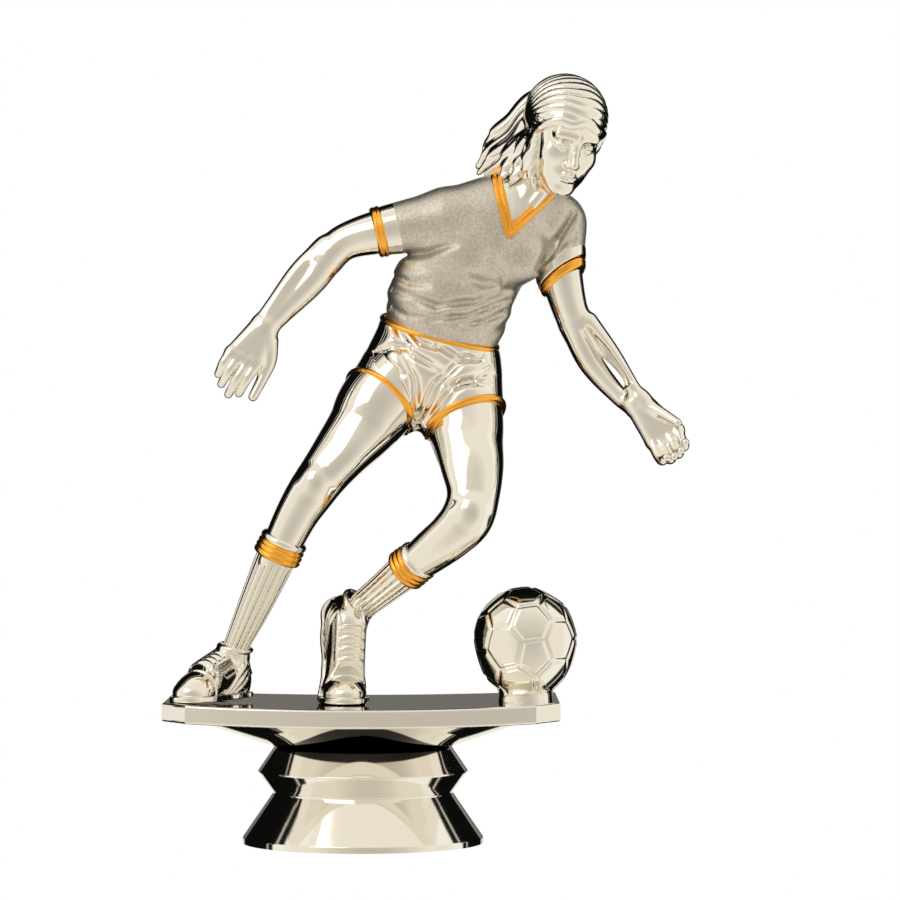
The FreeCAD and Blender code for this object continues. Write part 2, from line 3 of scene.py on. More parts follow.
import bpy
import numpy as np
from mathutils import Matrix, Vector


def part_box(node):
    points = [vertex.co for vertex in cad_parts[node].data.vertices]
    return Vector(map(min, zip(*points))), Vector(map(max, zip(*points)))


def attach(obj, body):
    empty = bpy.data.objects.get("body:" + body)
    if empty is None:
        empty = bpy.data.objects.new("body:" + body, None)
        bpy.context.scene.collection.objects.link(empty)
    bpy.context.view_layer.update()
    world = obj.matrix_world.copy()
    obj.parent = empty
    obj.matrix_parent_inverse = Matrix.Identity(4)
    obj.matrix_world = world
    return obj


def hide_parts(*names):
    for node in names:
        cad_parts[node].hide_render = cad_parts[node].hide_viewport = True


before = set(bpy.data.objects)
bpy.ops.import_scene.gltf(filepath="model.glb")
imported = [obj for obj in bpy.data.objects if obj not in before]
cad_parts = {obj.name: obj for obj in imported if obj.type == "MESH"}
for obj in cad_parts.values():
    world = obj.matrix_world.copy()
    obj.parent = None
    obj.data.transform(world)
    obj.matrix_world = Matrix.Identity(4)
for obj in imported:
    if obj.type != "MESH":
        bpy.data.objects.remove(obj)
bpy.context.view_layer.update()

MM = 0.001


# ---- fields: functions of points in millimetres that are negative inside the solid ----------------
def unit(v):
    v = np.asarray(v, float)
    return v / np.linalg.norm(v)


def length(v):
    return np.sqrt(np.einsum("ij,ij->i", v, v))


def tube(a, b, ra, rb, thin=None, ratio=1.0):
    """A round cone with ball ends; along the direction thin it is only ratio as thick."""
    a, b = np.asarray(a, float), np.asarray(b, float)
    run = b - a
    thin = None if thin is None else unit(thin)

    def field(p):
        q = p - a
        t = np.clip(q @ run / (run @ run), 0, 1)
        q = q - t[:, None] * run
        r = ra + (rb - ra) * t
        if thin is None:
            return length(q) - r
        along = (q @ thin)[:, None] * thin
        k0 = length(q + (1 / ratio - 1) * along) / r
        k1 = length(q + (1 / ratio ** 2 - 1) * along) / r ** 2
        return k0 * (k0 - 1) / np.maximum(k1, 1e-6)
    return field


def blob(centre, radii):
    """An ellipsoid with its radii along the axes."""
    centre, radii = np.asarray(centre, float), np.asarray(radii, float)

    def field(p):
        q = p - centre
        k0 = length(q / radii)
        k1 = length(q / radii ** 2)
        return k0 * (k0 - 1) / np.maximum(k1, 1e-6)
    return field


def chain(points, k):
    """Round cones through (x, y, z, r) points, smoothly joined."""
    return blend(k, *[tube(p[:3], q[:3], p[3], q[3]) for p, q in zip(points, points[1:])])


def limb(points, per_span=7):
    """A smooth round limb whose centre line and radius run through (x, y, z, r) points."""
    points = np.array(points, float)
    ghost = np.vstack([2 * points[0] - points[1], points, 2 * points[-1] - points[-2]])
    stations = []
    for i in range(1, len(ghost) - 2):
        for t in np.arange(per_span) / per_span:
            weights = 0.5 * np.array([-t + 2 * t ** 2 - t ** 3, 2 - 5 * t ** 2 + 3 * t ** 3,
                                      t + 4 * t ** 2 - 3 * t ** 3, t ** 3 - t ** 2])
            stations.append(weights @ ghost[i - 1:i + 3])
    stations = np.array(stations + [points[-1]])
    centres, radii = stations[:, :3], stations[:, 3]
    squares = np.einsum("ij,ij->i", centres, centres)
    last = len(stations) - 1

    def field(p):
        reach = np.einsum("ij,ij->i", p, p)[:, None] + squares - 2 * p @ centres.T
        gap = np.sqrt(np.maximum(reach, 0)) - radii
        here = np.clip(np.argmin(gap, axis=1), 1, last - 1)
        row = np.arange(len(p))
        before, now, after = gap[row, here - 1], gap[row, here], gap[row, here + 1]
        bend = np.maximum(before - 2 * now + after, 1e-9)
        t = np.clip(0.5 * (before - after) / bend, -1, 1)[:, None]
        low, mid, high = stations[here - 1], stations[here], stations[here + 1]
        place = mid + 0.5 * t * (high - low) + 0.5 * t ** 2 * (high - 2 * mid + low)
        return length(p - place[:, :3]) - place[:, 3]
    return field


def smooth_min(a, b, k):
    h = np.maximum(k - np.abs(a - b), 0) / k
    return np.minimum(a, b) - h * h * k / 4


def blend(k, *fields):
    def field(p):
        d = fields[0](p)
        for f in fields[1:]:
            d = smooth_min(d, f(p), k)
        return d
    return field


def both(k, *fields):
    """Where all the fields overlap."""
    def field(p):
        d = fields[0](p)
        for f in fields[1:]:
            d = -smooth_min(-d, -f(p), k)
        return d
    return field


def without(k, solid, *cuts):
    def field(p):
        d = solid(p)
        for f in cuts:
            d = -smooth_min(-d, f(p), k)
        return d
    return field


def grown(solid, amount):
    return lambda p: solid(p) - amount


def plane(point, normal):
    """Half space behind the plane."""
    point, normal = np.asarray(point, float), unit(normal)
    return lambda p: (p - point) @ normal


def bead(surface, cut, radius):
    """A raised ring where a surface meets a cut."""
    return lambda p: (np.hypot(surface(p), cut(p)) - radius) * 0.9


def segments_distance(p, points):
    """Distance to a polyline, and how far along it, 0 to 1."""
    points = np.asarray(points, float)
    best = np.full(len(p), 1e9)
    share = np.zeros(len(p))
    count = len(points) - 1
    for i in range(count):
        run = points[i + 1] - points[i]
        t = np.clip((p - points[i]) @ run / (run @ run), 0, 1)
        d = length(p - points[i] - t[:, None] * run)
        nearer = d < best
        best = np.where(nearer, d, best)
        share = np.where(nearer, (i + t) / count, share)
    return best, share


def creased(solid, lines, front=True):
    """Folds pressed into a solid along lines drawn in X and Z.

    Each line is (points, depth, width): a positive depth is a groove, a negative one a ridge.
    """
    def field(p):
        d = solid(p)
        flat = np.column_stack([p[:, 0], p[:, 2]])
        facing = 1 / (1 + np.exp(np.clip((p[:, 1] if front else -p[:, 1]) * 1.5, -30, 30)))
        for points, depth, width in lines:
            away, share = segments_distance(flat, points)
            fade = np.sqrt(np.clip(4 * share * (1 - share), 0, 1))
            d = d + depth * facing * fade * np.exp(-(away / width) ** 2)
        return d
    return field


# ---- from field to mesh ---------------------------------------------------------------------------
CORNERS = np.array([(i, j, k) for i in (0, 1) for j in (0, 1) for k in (0, 1)])
EDGES = [(a, b) for a in range(8) for b in range(a + 1, 8) if np.abs(CORNERS[a] - CORNERS[b]).sum() == 1]
TETRA = np.array([(1, -1, -1), (-1, -1, 1), (-1, 1, -1), (1, 1, 1)], float)
COARSE = 4                       # fine steps in one coarse step


def slope(field, p, eps):
    """Value and gradient of a field."""
    values = [field(p + eps * t) for t in TETRA]
    gradient = sum(v[:, None] * t for v, t in zip(values, TETRA)) / (4 * eps)
    return sum(values) / 4, gradient


def sample(field, low, high, step):
    """Field values on a grid, exact only near the surface."""
    cells = np.ceil((high - low) / (step * COARSE)).astype(int) + 1
    index = np.indices(cells + 1).reshape(3, -1).T
    coarse = field(low + index * step * COARSE).reshape(cells + 1)
    near = np.abs(coarse) < step * COARSE * 1.9
    active = np.zeros(cells, bool)
    for i, j, k in CORNERS:
        active |= near[i:i + cells[0], j:j + cells[1], k:k + cells[2]]
    size = cells * COARSE + 1
    nearest = [np.minimum(np.arange(n) // COARSE, c) for n, c in zip(size, cells)]
    values = coarse[np.ix_(*nearest)].copy()
    offsets = np.indices((COARSE + 1,) * 3).reshape(3, -1).T
    places = (np.argwhere(active)[:, None, :] * COARSE + offsets).reshape(-1, 3)
    flat = np.unique(np.ravel_multi_index(places.T, size))
    places = np.column_stack(np.unravel_index(flat, size))
    values.ravel()[flat] = field(low + places * step)
    return values


def surface_net(values):
    """Vertices, in grid units, and quads of the zero surface."""
    inside = values < 0
    nx, ny, nz = np.array(values.shape) - 1
    hits = sum(inside[i:i + nx, j:j + ny, k:k + nz].astype(np.int8) for i, j, k in CORNERS)
    cells = np.argwhere((hits > 0) & (hits < 8))
    corner = [values[tuple((cells + c).T)] for c in CORNERS]
    total = np.zeros((len(cells), 3))
    count = np.zeros(len(cells))
    for a, b in EDGES:
        va, vb = corner[a], corner[b]
        cross = (va < 0) != (vb < 0)
        t = np.where(cross, va / np.where(cross, va - vb, 1), 0)
        total += cross[:, None] * (CORNERS[a] + t[:, None] * (CORNERS[b] - CORNERS[a]))
        count += cross
    vertices = cells + total / count[:, None]
    number = np.full((nx, ny, nz), -1)
    number[tuple(cells.T)] = np.arange(len(cells))
    quads = []
    for axis in range(3):
        u, v = (axis + 1) % 3, (axis + 2) % 3
        step = np.eye(3, dtype=int)
        cut = [slice(None)] * 3
        cut[axis] = slice(0, -1)
        ahead = [slice(None)] * 3
        ahead[axis] = slice(1, None)
        change = inside[tuple(cut)] != inside[tuple(ahead)]
        nodes = np.argwhere(change)
        nodes = nodes[(nodes[:, u] > 0) & (nodes[:, v] > 0)]
        nodes = nodes[(nodes[:, u] < number.shape[u]) & (nodes[:, v] < number.shape[v])]
        ring = [nodes - step[u] - step[v], nodes - step[v], nodes, nodes - step[u]]
        face = np.column_stack([number[tuple(r.T)] for r in ring])
        outward = inside[tuple(nodes.T)]
        quads.append(np.where(outward[:, None], face, face[:, ::-1]))
    return vertices, np.vstack(quads)


def solid_mesh(name, vertices, quads, normals):
    mesh = bpy.data.meshes.new(name)
    mesh.from_pydata((vertices * MM).tolist(), [], quads.tolist())
    mesh.polygons.foreach_set("use_smooth", np.ones(len(quads), bool))
    mesh.normals_split_custom_set_from_vertices(normals.tolist())
    thing = bpy.data.objects.new(name, mesh)
    bpy.context.scene.collection.objects.link(thing)
    return thing


def sculpt(name, field, nodes, step, margin=2.0):
    """A piece from its field, inside the boxes of the CAD nodes that it stands for."""
    step = step * 1.0
    corners = [np.array(c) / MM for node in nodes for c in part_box(node)]
    low = np.min(corners, axis=0) - margin
    high = np.max(corners, axis=0) + margin
    vertices, quads = surface_net(sample(field, low, high, step))
    p = low + vertices * step
    for _ in range(3):
        value, gradient = slope(field, p, step * 0.2)
        move = -value[:, None] * gradient / np.maximum(length(gradient) ** 2, 0.05)[:, None]
        reach = length(move)[:, None]
        p = p + move * np.minimum(1, 0.5 * step / np.maximum(reach, 1e-9))
    _, gradient = slope(field, p, 0.04)
    normals = gradient / np.maximum(length(gradient), 1e-9)[:, None]
    thing = solid_mesh(name, p, quads, normals)
    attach(thing, "root")
    return thing


# ---- materials ------------------------------------------------------------------------------------
def finish_material(name, colour, roughness, grain=0.0, speckle=0.0):
    """A metal finish; grain roughens it like sand blasting, speckle varies the shade of its grains."""
    material = bpy.data.materials.new(name)
    material.use_nodes = True
    nodes, links = material.node_tree.nodes, material.node_tree.links
    shader = nodes["Principled BSDF"]
    shader.inputs["Base Color"].default_value = (*colour, 1)
    shader.inputs["Metallic"].default_value = 1.0
    shader.inputs["Roughness"].default_value = roughness
    if grain == 0 and speckle == 0:
        return material
    place = nodes.new("ShaderNodeTexCoord")
    noise = nodes.new("ShaderNodeTexNoise")
    noise.inputs["Scale"].default_value = 2400
    noise.inputs["Detail"].default_value = 3.0
    links.new(place.outputs["Object"], noise.inputs["Vector"])
    bump = nodes.new("ShaderNodeBump")
    bump.inputs["Strength"].default_value = grain
    bump.inputs["Distance"].default_value = 0.2 * MM
    links.new(noise.outputs["Fac"], bump.inputs["Height"])
    links.new(bump.outputs["Normal"], shader.inputs["Normal"])
    shades = nodes.new("ShaderNodeValToRGB")
    shade_stops = ((0.35, 1 - speckle), (0.65, 1 + speckle))
    for element, (position, factor) in zip(shades.color_ramp.elements, shade_stops):
        element.position = position
        element.color = (*[min(1.0, c * factor) for c in colour], 1)
    links.new(noise.outputs["Fac"], shades.inputs["Fac"])
    links.new(shades.outputs["Color"], shader.inputs["Base Color"])
    return material


def painted_shade_plating(name, colour, roughness, half_length, half_depth):
    """Plating with painted shade: near black inside an upright oval, where the under-deck meets its foot, for the
    shade in the gap there.
    """
    material = finish_material(name, colour, roughness)
    nodes, links = material.node_tree.nodes, material.node_tree.links
    place = nodes.new("ShaderNodeTexCoord")
    scaled = nodes.new("ShaderNodeVectorMath")
    scaled.operation = "MULTIPLY"
    scaled.inputs[1].default_value = (1 / (half_length * MM), 1 / (half_depth * MM), 0)
    links.new(place.outputs["Object"], scaled.inputs[0])
    reach = nodes.new("ShaderNodeVectorMath")
    reach.operation = "LENGTH"
    links.new(scaled.outputs["Vector"], reach.inputs[0])
    shades = nodes.new("ShaderNodeValToRGB")
    # painted shade: near black inside the oval, the plating's own colour outside it
    shade_stops = ((0.985, PAINTED_SHADE), (1.0, colour))
    for element, (position, shade) in zip(shades.color_ramp.elements, shade_stops):
        element.position = position
        element.color = (*shade, 1)
    links.new(reach.outputs["Value"], shades.inputs["Fac"])
    links.new(shades.outputs["Color"], nodes["Principled BSDF"].inputs["Base Color"])
    return material


PLATING, PLATING_ROUGHNESS = (0.88, 0.85, 0.78), 0.07
# near black colour of the painted shade in the gap under the deck
PAINTED_SHADE = (0.012, 0.011, 0.01)
silver = finish_material("plated_silver", PLATING, PLATING_ROUGHNESS)
satin = finish_material("blasted_silver", (0.66, 0.62, 0.55), 0.42, grain=0.35, speckle=0.13)
gold = finish_material("gold_lacquer", (1.0, 0.47, 0.07), 0.18)
# the hull's plating, with painted shade inside an oval round its foot
hull_silver_with_painted_shade = painted_shade_plating("plated_silver_hull_painted_shade", PLATING, PLATING_ROUGHNESS, 15.6, 19.8)
steel = finish_material("zinc_steel", (0.62, 0.62, 0.63), 0.32, grain=0.1)


SILVER, SATIN, GOLD = (silver, "silver_polish"), (satin, "silver_satin"), (gold, "gold_lacquer")


def dress(thing, finish, *nodes):
    """Give a piece its material, and let it stand for the CAD nodes."""
    material, slot = finish
    thing.data.materials.clear()
    thing.data.materials.append(material)
    if nodes:
        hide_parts(*nodes)


for node, material in (("pedestal", silver), ("deck", silver),
                       ("mounting_nut", steel), ("deck_screws", steel)):
    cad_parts[node].data.materials.clear()
    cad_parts[node].data.materials.append(material)


# ---- under-deck: a shallow bowl from the deck's plan down to an oval foot ---------------------------
def ring_walls(rings, columns, first=0):
    """Quads between neighbouring rings of points, closed at both ends."""
    faces = [(first + r * columns + c, first + r * columns + (c + 1) % columns,
              first + (r + 1) * columns + (c + 1) % columns, first + (r + 1) * columns + c)
             for r in range(rings - 1) for c in range(columns)]
    faces.append(tuple(first + c for c in reversed(range(columns))))
    faces.append(tuple(first + (rings - 1) * columns + c for c in range(columns)))
    return faces


def under_hull():
    """The hull, and the round spigot that fills the recess in the pedestal's top."""
    half_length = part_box("under_deck")[1][0] / MM
    spigot_z, foot_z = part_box("under_deck")[0][2] / MM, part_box("pedestal")[1][2] / MM
    half_depth, brim_z = 20.4, 21.8
    foot_length, foot_depth = 14.8, 12.4
    spigot_r, overlap = 8.95, 0.02
    corner = 0.4                        # the lower, the squarer the brim's plan
    rows, columns = 17, 160
    turns = np.linspace(0, 2 * math.pi, columns, endpoint=False)
    cos, sin = np.cos(turns), np.sin(turns)
    brim_x = half_length * np.sign(cos) * np.abs(cos) ** corner
    brim_y = half_depth * np.sign(sin) * np.abs(sin) ** corner
    vertices = []
    for share in np.linspace(0, 1, rows):
        x = foot_length * cos * (1 - share) + brim_x * share
        y = foot_depth * sin * (1 - share) + brim_y * share
        vertices += [(a, b, foot_z + (brim_z - foot_z) * share) for a, b in zip(x, y)]
    for z in (spigot_z, foot_z + overlap):
        vertices += [(spigot_r * a, spigot_r * b, z) for a, b in zip(cos, sin)]
    faces = ring_walls(rows, columns) + ring_walls(2, columns, rows * columns)
    mesh = bpy.data.meshes.new("under_hull")
    mesh.from_pydata([(a * MM, b * MM, c * MM) for a, b, c in vertices], [], faces)
    mesh.polygons.foreach_set("use_smooth", [len(f) == 4 for f in faces])
    thing = bpy.data.objects.new("under_hull", mesh)
    bpy.context.scene.collection.objects.link(thing)
    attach(thing, "root")
    return thing


dress(under_hull(), (hull_silver_with_painted_shade, SILVER[1]), "under_deck")


# ---- the player, in millimetres; left and right are the player's own ------------------------------
# shirt
WAIST_CENTRE = (12.6, 0.0, 88.6)
WAIST_UP = unit((0.24, -0.22, 0.95))
RIGHT_CUFF, RIGHT_CUFF_OUT = (5.6, -5.1, 106.1), unit((-0.97, -0.05, -0.22))
LEFT_CUFF, LEFT_CUFF_OUT = (33.9, 1.0, 99.4), unit((0.52, -0.28, -0.80))
COLLAR_RIGHT, COLLAR_POINT, COLLAR_LEFT = (22.9, 115.0), (25.3, 105.1), (32.7, 112.3)

torso = blend(3.5,
              tube((13.2, 0.0, 85.0), (14.2, -0.4, 91.0), 9.4, 9.9, (0.1, 1, 0), 0.66),
              tube((15.4, -1.0, 95.5), (21.6, -2.6, 104.0), 10.6, 9.0, (0.3, -1, 0), 0.70),
              tube((14.0, -4.2, 107.4), (24.0, -2.2, 108.0), 4.6, 5.2),
              tube((24.0, -2.2, 108.0), (33.2, 1.0, 107.2), 5.2, 4.9))
bust = blend(2.0, blob((17.4, -6.2, 101.8), (5.2, 4.0, 4.6)), blob((26.8, -5.4, 101.2), (5.0, 4.0, 4.6)))
shoulders = blend(3.0, tube((16.5, -4.0, 109.0), (25.6, -2.8, 112.4), 3.6, 3.6),
                  tube((31.6, 0.0, 108.8), (28.6, -2.2, 112.4), 3.4, 3.6))
sleeves = blend(2.0, tube((13.6, -4.7, 107.6), (2.0, -5.3, 105.2), 5.0, 4.15),
                tube((33.4, 1.2, 107.0), (34.4, 1.8, 97.0), 5.0, 4.3, (0, 1, 0), 0.95))
body_form = blend(3.0, blend(2.2, blend(3.0, torso, shoulders), sleeves), bust)


def gathers(p):
    """Soft level folds where the shirt is gathered above the waist."""
    height = (p - np.array(WAIST_CENTRE)) @ WAIST_UP
    window = np.exp(-((height - 4.6) / 3.4) ** 2)
    sway = 0.9 * np.sin(p[:, 0] * 0.33 + 0.6) + 0.5 * np.sin(p[:, 0] * 0.71 + p[:, 1] * 0.4)
    return 0.14 * window * np.sin((height + sway) * 1.9)


shirt_folds = [([(36.8, 109.4), (34.6, 105.6), (32.4, 102.2), (30.0, 98.2)], 1.7, 0.75),
               ([(36.9, 105.6), (35.4, 103.2), (33.0, 101.2)], 0.7, 0.7),
               ([(17.4, 97.4), (20.8, 96.4), (24.0, 96.2)], 1.0, 1.0),
               ([(5.0, 95.6), (12.7, 92.6), (19.3, 93.4), (25.8, 95.8)], 0.85, 0.7),
               ([(11.0, 90.0), (18.2, 91.0), (25.6, 94.0)], 0.75, 0.6),
               ([(16.6, 89.0), (20.6, 89.9), (24.6, 91.6)], 0.65, 0.55),
               ([(6.0, 101.4), (11.0, 101.6), (16.6, 103.4)], 0.9, 0.7),
               ([(5.0, 98.2), (8.0, 96.6), (12.0, 96.4)], 0.6, 0.7),
               ([(4.8, 92.4), (7.6, 90.9), (11.4, 90.6)], 0.5, 0.6),
               ([(22.0, 102.5), (22.4, 99.6), (23.4, 96.8)], 0.5, 1.2)]
draped = creased(body_form, shirt_folds)


def shirt_skin(p):
    return draped(p) + gathers(p)


def collar_distance(p):
    """Distance in front view to the V of the neckline, negative inside the V."""
    flat = np.column_stack([p[:, 0], p[:, 2]])
    away, _ = segments_distance(flat, [COLLAR_RIGHT, COLLAR_POINT, COLLAR_LEFT])
    right = (flat - COLLAR_POINT) @ np.array([COLLAR_RIGHT[1] - COLLAR_POINT[1],
                                              COLLAR_POINT[0] - COLLAR_RIGHT[0]])
    left = (flat - COLLAR_POINT) @ np.array([COLLAR_POINT[1] - COLLAR_LEFT[1],
                                             COLLAR_LEFT[0] - COLLAR_POINT[0]])
    inner = (right > 0) & (left > 0)
    return np.where(inner, -away, away)


def neck_edge(p):
    """Negative inside the round opening behind the V."""
    q = (p[:, :2] - np.array((27.8, -1.4))) / np.array((5.2, 4.4))
    return (np.hypot(q[:, 0], q[:, 1]) - 1) * 4.6


neck_opening = both(0.4, collar_distance, plane((27, -1.5, 108), (0, 1, 0)))
neck_hole = both(0.3, neck_edge, plane((27.8, -2.4, 110.0), (0, 0, -1)))
right_cuff_cut = both(0.1, plane(RIGHT_CUFF, -RIGHT_CUFF_OUT), blob((0.0, -5.2, 104.6), (8, 8, 8)))
left_cuff_cut = both(0.1, plane(LEFT_CUFF, -LEFT_CUFF_OUT), blob((35.6, 0.8, 95.0), (8, 8, 8)))
shirt = without(0.3, both(0.3, shirt_skin, plane(WAIST_CENTRE, -WAIST_UP)), right_cuff_cut, left_cuff_cut,
                neck_opening, neck_hole)
dress(sculpt("shirt", shirt, ["shirt_front", "shirt_back"], 0.28), SATIN, "shirt_front", "shirt_back")


def collar_band(p):
    """A flat band with a groove along its middle, round the V and behind the neck."""
    front = np.abs(collar_distance(p))
    behind = np.abs(neck_edge(p))
    at_back = np.clip((p[:, 1] + 2.4) / 1.2, 0, 1)
    side = front * (1 - at_back) + behind * at_back
    rise = shirt_skin(p)
    top = rise - 0.42 + 0.22 * np.exp(-(side / 0.16) ** 2)
    band = -smooth_min(-top, 0.9 - side, 0.3)
    band = -smooth_min(-band, rise + 1.2, 0.2)
    far_from_neck = length(p - np.array((27.6, -2.6, 110.0))) - 9.6
    return np.maximum(np.maximum(band, far_from_neck), 103.4 - p[:, 2])


dress(sculpt("collar", collar_band, ["collar_trim", "head"], 0.17, 1.0), GOLD, "collar_trim")


# cuffs and waist
def ring_stack(surface, centre, outward, offsets, radius):
    """Raised rings round a surface, at the given distances along outward."""
    rings = [bead(surface, plane(np.array(centre) + outward * o, outward), radius) for o in offsets]
    return blend(0.15, *rings)


right_sleeve = blend(2.0, tube((13.6, -4.7, 107.6), (2.0, -5.3, 105.2), 5.0, 4.0))
left_sleeve = tube((33.4, 1.2, 107.0), (34.6, 1.6, 97.0), 5.0, 4.2)
right_band = both(0.2, grown(right_sleeve, 0.12),
                  plane(np.array(RIGHT_CUFF) + RIGHT_CUFF_OUT * 2.1, RIGHT_CUFF_OUT),
                  plane(np.array(RIGHT_CUFF) - RIGHT_CUFF_OUT * 0.6, -RIGHT_CUFF_OUT))
left_band = both(0.2, grown(left_sleeve, 0.1),
                 plane(np.array(LEFT_CUFF) + LEFT_CUFF_OUT * 0.9, LEFT_CUFF_OUT),
                 plane(np.array(LEFT_CUFF) - LEFT_CUFF_OUT * 0.6, -LEFT_CUFF_OUT))
dress(sculpt("sleeve_band_right", right_band, ["sleeve_trim_right"], 0.22, 3.0), SILVER)
dress(sculpt("sleeve_band_left", left_band, ["sleeve_trim_left"], 0.22, 4.0), SILVER)
right_rings = ring_stack(grown(right_sleeve, -0.1), RIGHT_CUFF, RIGHT_CUFF_OUT, (2.4, 3.2), 0.5)
left_rings = ring_stack(grown(left_sleeve, -0.5), LEFT_CUFF, LEFT_CUFF_OUT, (1.5, 2.0), 0.5)
dress(sculpt("sleeve_rings_right", right_rings, ["sleeve_trim_right"], 0.16, 3.0), GOLD, "sleeve_trim_right")
dress(sculpt("sleeve_rings_left", left_rings, ["sleeve_trim_left"], 0.16, 4.0), GOLD, "sleeve_trim_left")

# shorts
RIGHT_HEM, RIGHT_HEM_OUT = (2.9, -1.0, 76.3), unit((-0.62, -0.45, -0.64))
LEFT_HEM, LEFT_HEM_OUT = (17.4, -1.0, 72.8), unit((0.34, -0.41, -0.85))
hips = blend(3.0,
             tube((12.6, 0.3, 88.0), (12.0, 0.6, 83.0), 9.9, 10.9, (0, 1, 0), 0.70),
             tube((8.4, 0.6, 83.0), (1.4, -1.2, 74.0), 7.0, 7.3, (0.3, 1, 0), 0.98),
             tube((16.4, 0.4, 82.4), (17.8, -1.4, 71.0), 7.2, 7.1, (0, 1, 0), 1.0),
             blob((7.6, 4.4, 80.6), (5.8, 5.0, 6.0)), blob((16.6, 4.4, 80.0), (5.8, 5.0, 6.0)))
shorts_folds = [([(9.4, 71.5), (6.4, 78.5), (2.6, 85.5)], 0.95, 0.8),
                ([(9.6, 72.5), (9.0, 80.0), (5.6, 87.5)], 0.8, 0.8),
                ([(9.8, 73.0), (12.5, 79.0), (18.5, 84.8)], 1.1, 0.8),
                ([(10.6, 72.0), (15.5, 78.4), (22.6, 82.0)], 0.95, 0.75),
                ([(5.2, 90.0), (8.6, 84.4), (14.2, 81.2)], 1.0, 0.8),
                ([(12.5, 86.2), (16.6, 83.6), (21.0, 83.6)], 1.0, 0.7),
                ([(0.6, 86.2), (3.8, 82.4), (7.6, 80.6)], 0.6, 0.7),
                ([(7.6, 88.8), (10.0, 86.4), (13.2, 85.2)], 0.8, 0.65),
                ([(2.0, 84.2), (5.0, 85.6), (8.4, 85.2)], 0.6, 0.65),
                ([(13.4, 78.6), (17.4, 79.8), (22.4, 79.0)], 0.7, 0.7)]
shorts_back_folds = [([(12.0, 73.5), (12.2, 79.0), (12.4, 86.0)], 0.9, 1.1),
                     ([(3.0, 75.5), (6.4, 76.4), (10.6, 74.6)], 0.5, 0.8),
                     ([(13.6, 73.8), (17.6, 74.4), (22.4, 74.6)], 0.5, 0.8),
                     ([(4.6, 87.6), (5.6, 84.0), (5.0, 80.0)], 0.4, 0.7),
                     ([(19.4, 86.6), (19.0, 83.0), (20.4, 79.0)], 0.4, 0.7)]
shorts_skin = creased(creased(hips, shorts_folds), shorts_back_folds, front=False)
leg_hollows = blend(0.3, tube((6.0, 0, 80.0), (0.6, -1.6, 72.0), 6.2, 6.4),
                    tube((17.0, 0, 78.0), (17.9, -1.6, 69.0), 6.2, 6.2))
hem_cut_right = both(0.2, plane(RIGHT_HEM, -RIGHT_HEM_OUT), plane((10.0, 0, 74), (0.9, 0, -0.2)))
hem_cut_left = both(0.2, plane(LEFT_HEM, -LEFT_HEM_OUT), plane((9.9, 0, 74), (-1.0, 0, 0.1)))
shorts = without(0.25, both(0.3, shorts_skin, plane(WAIST_CENTRE, WAIST_UP)),
                 hem_cut_right, hem_cut_left, leg_hollows)
dress(sculpt("shorts", shorts, ["shorts"], 0.24, 3.0), SILVER, "shorts")

waist_ring = ring_stack(grown(hips, -0.25), WAIST_CENTRE, WAIST_UP, (0.0,), 0.5)
dress(sculpt("waistband", waist_ring, ["waistband"], 0.18, 3.0), GOLD, "waistband")
right_hem = both(0.3, bead(grown(hips, -0.1), plane(RIGHT_HEM, RIGHT_HEM_OUT), 0.52),
                 plane((8.3, 0, 72), (0.94, 0, -0.3)), plane((0, 0, 70.4), (0, 0, -1)))
left_hem = both(0.3, bead(grown(hips, -0.1), plane(LEFT_HEM, LEFT_HEM_OUT), 0.52),
                plane((11.1, 0, 72), (-1, 0, 0.2)), plane((0, 0, 69.6), (0, 0, -1)))
dress(sculpt("hem_right", right_hem, ["shorts_hem_right"], 0.18, 4.0), GOLD, "shorts_hem_right")
dress(sculpt("hem_left", left_hem, ["shorts_hem_left"], 0.18, 4.0), GOLD, "shorts_hem_left")

# legs
thigh_right = blend(1.6,
                    limb([(8.6, 0.8, 83.0, 6.6), (2.9, -1.0, 76.3, 6.95), (0.0, -2.2, 72.0, 6.0),
                          (-3.2, -4.0, 68.0, 5.1), (-6.2, -5.6, 64.2, 4.4), (-8.8, -6.4, 60.6, 4.1),
                          (-11.2, -6.4, 56.8, 3.7), (-13.6, -6.2, 52.0, 3.35), (-15.2, -6.0, 48.6, 3.0)]),
                    limb([(1.6, -4.4, 71.6, 3.4), (-2.0, -6.8, 67.4, 2.9), (-4.6, -7.6, 64.6, 2.2)]),
                    blob((-8.0, -9.0, 62.4), (2.0, 1.7, 2.3)),
                    limb([(-9.4, -4.0, 59.4, 2.4), (-11.4, -3.6, 55.6, 2.9), (-13.4, -4.0, 51.6, 2.5)]))
thigh_left = blend(1.6,
                   limb([(17.0, 1.0, 80.0, 6.3), (17.5, -1.0, 73.4, 6.75), (18.2, -3.6, 69.0, 6.0),
                         (19.0, -6.6, 65.0, 5.25), (19.1, -9.0, 60.4, 4.5), (18.0, -10.2, 56.4, 4.5),
                         (15.4, -9.8, 53.4, 4.1), (12.2, -8.6, 50.8, 3.75), (9.4, -7.4, 48.6, 3.3),
                         (7.6, -6.4, 47.2, 3.0)]),
                   limb([(16.0, -5.6, 70.0, 3.2), (16.4, -8.6, 65.0, 2.6), (17.2, -11.0, 61.0, 1.8)]),
                   blob((18.6, -13.3, 57.4), (2.1, 1.6, 2.4)))
dress(sculpt("leg_right", thigh_right, ["thigh_right"], 0.26), SILVER, "thigh_right")
dress(sculpt("leg_left", thigh_left, ["thigh_left"], 0.26), SILVER, "thigh_left")


def ribbed(solid, a, b, count, depth):
    """Lengthwise grooves of a knitted rib round the axis from a to b."""
    a = np.asarray(a, float)
    axis = unit(np.subtract(b, a))
    side = unit(np.cross(axis, (0, 1, 0)))
    other = np.cross(axis, side)

    def field(p):
        q = p - a
        angle = np.arctan2(q @ other, q @ side)
        return solid(p) + depth * np.exp(-(np.sin(angle * count / 2) / 0.42) ** 2)
    return field


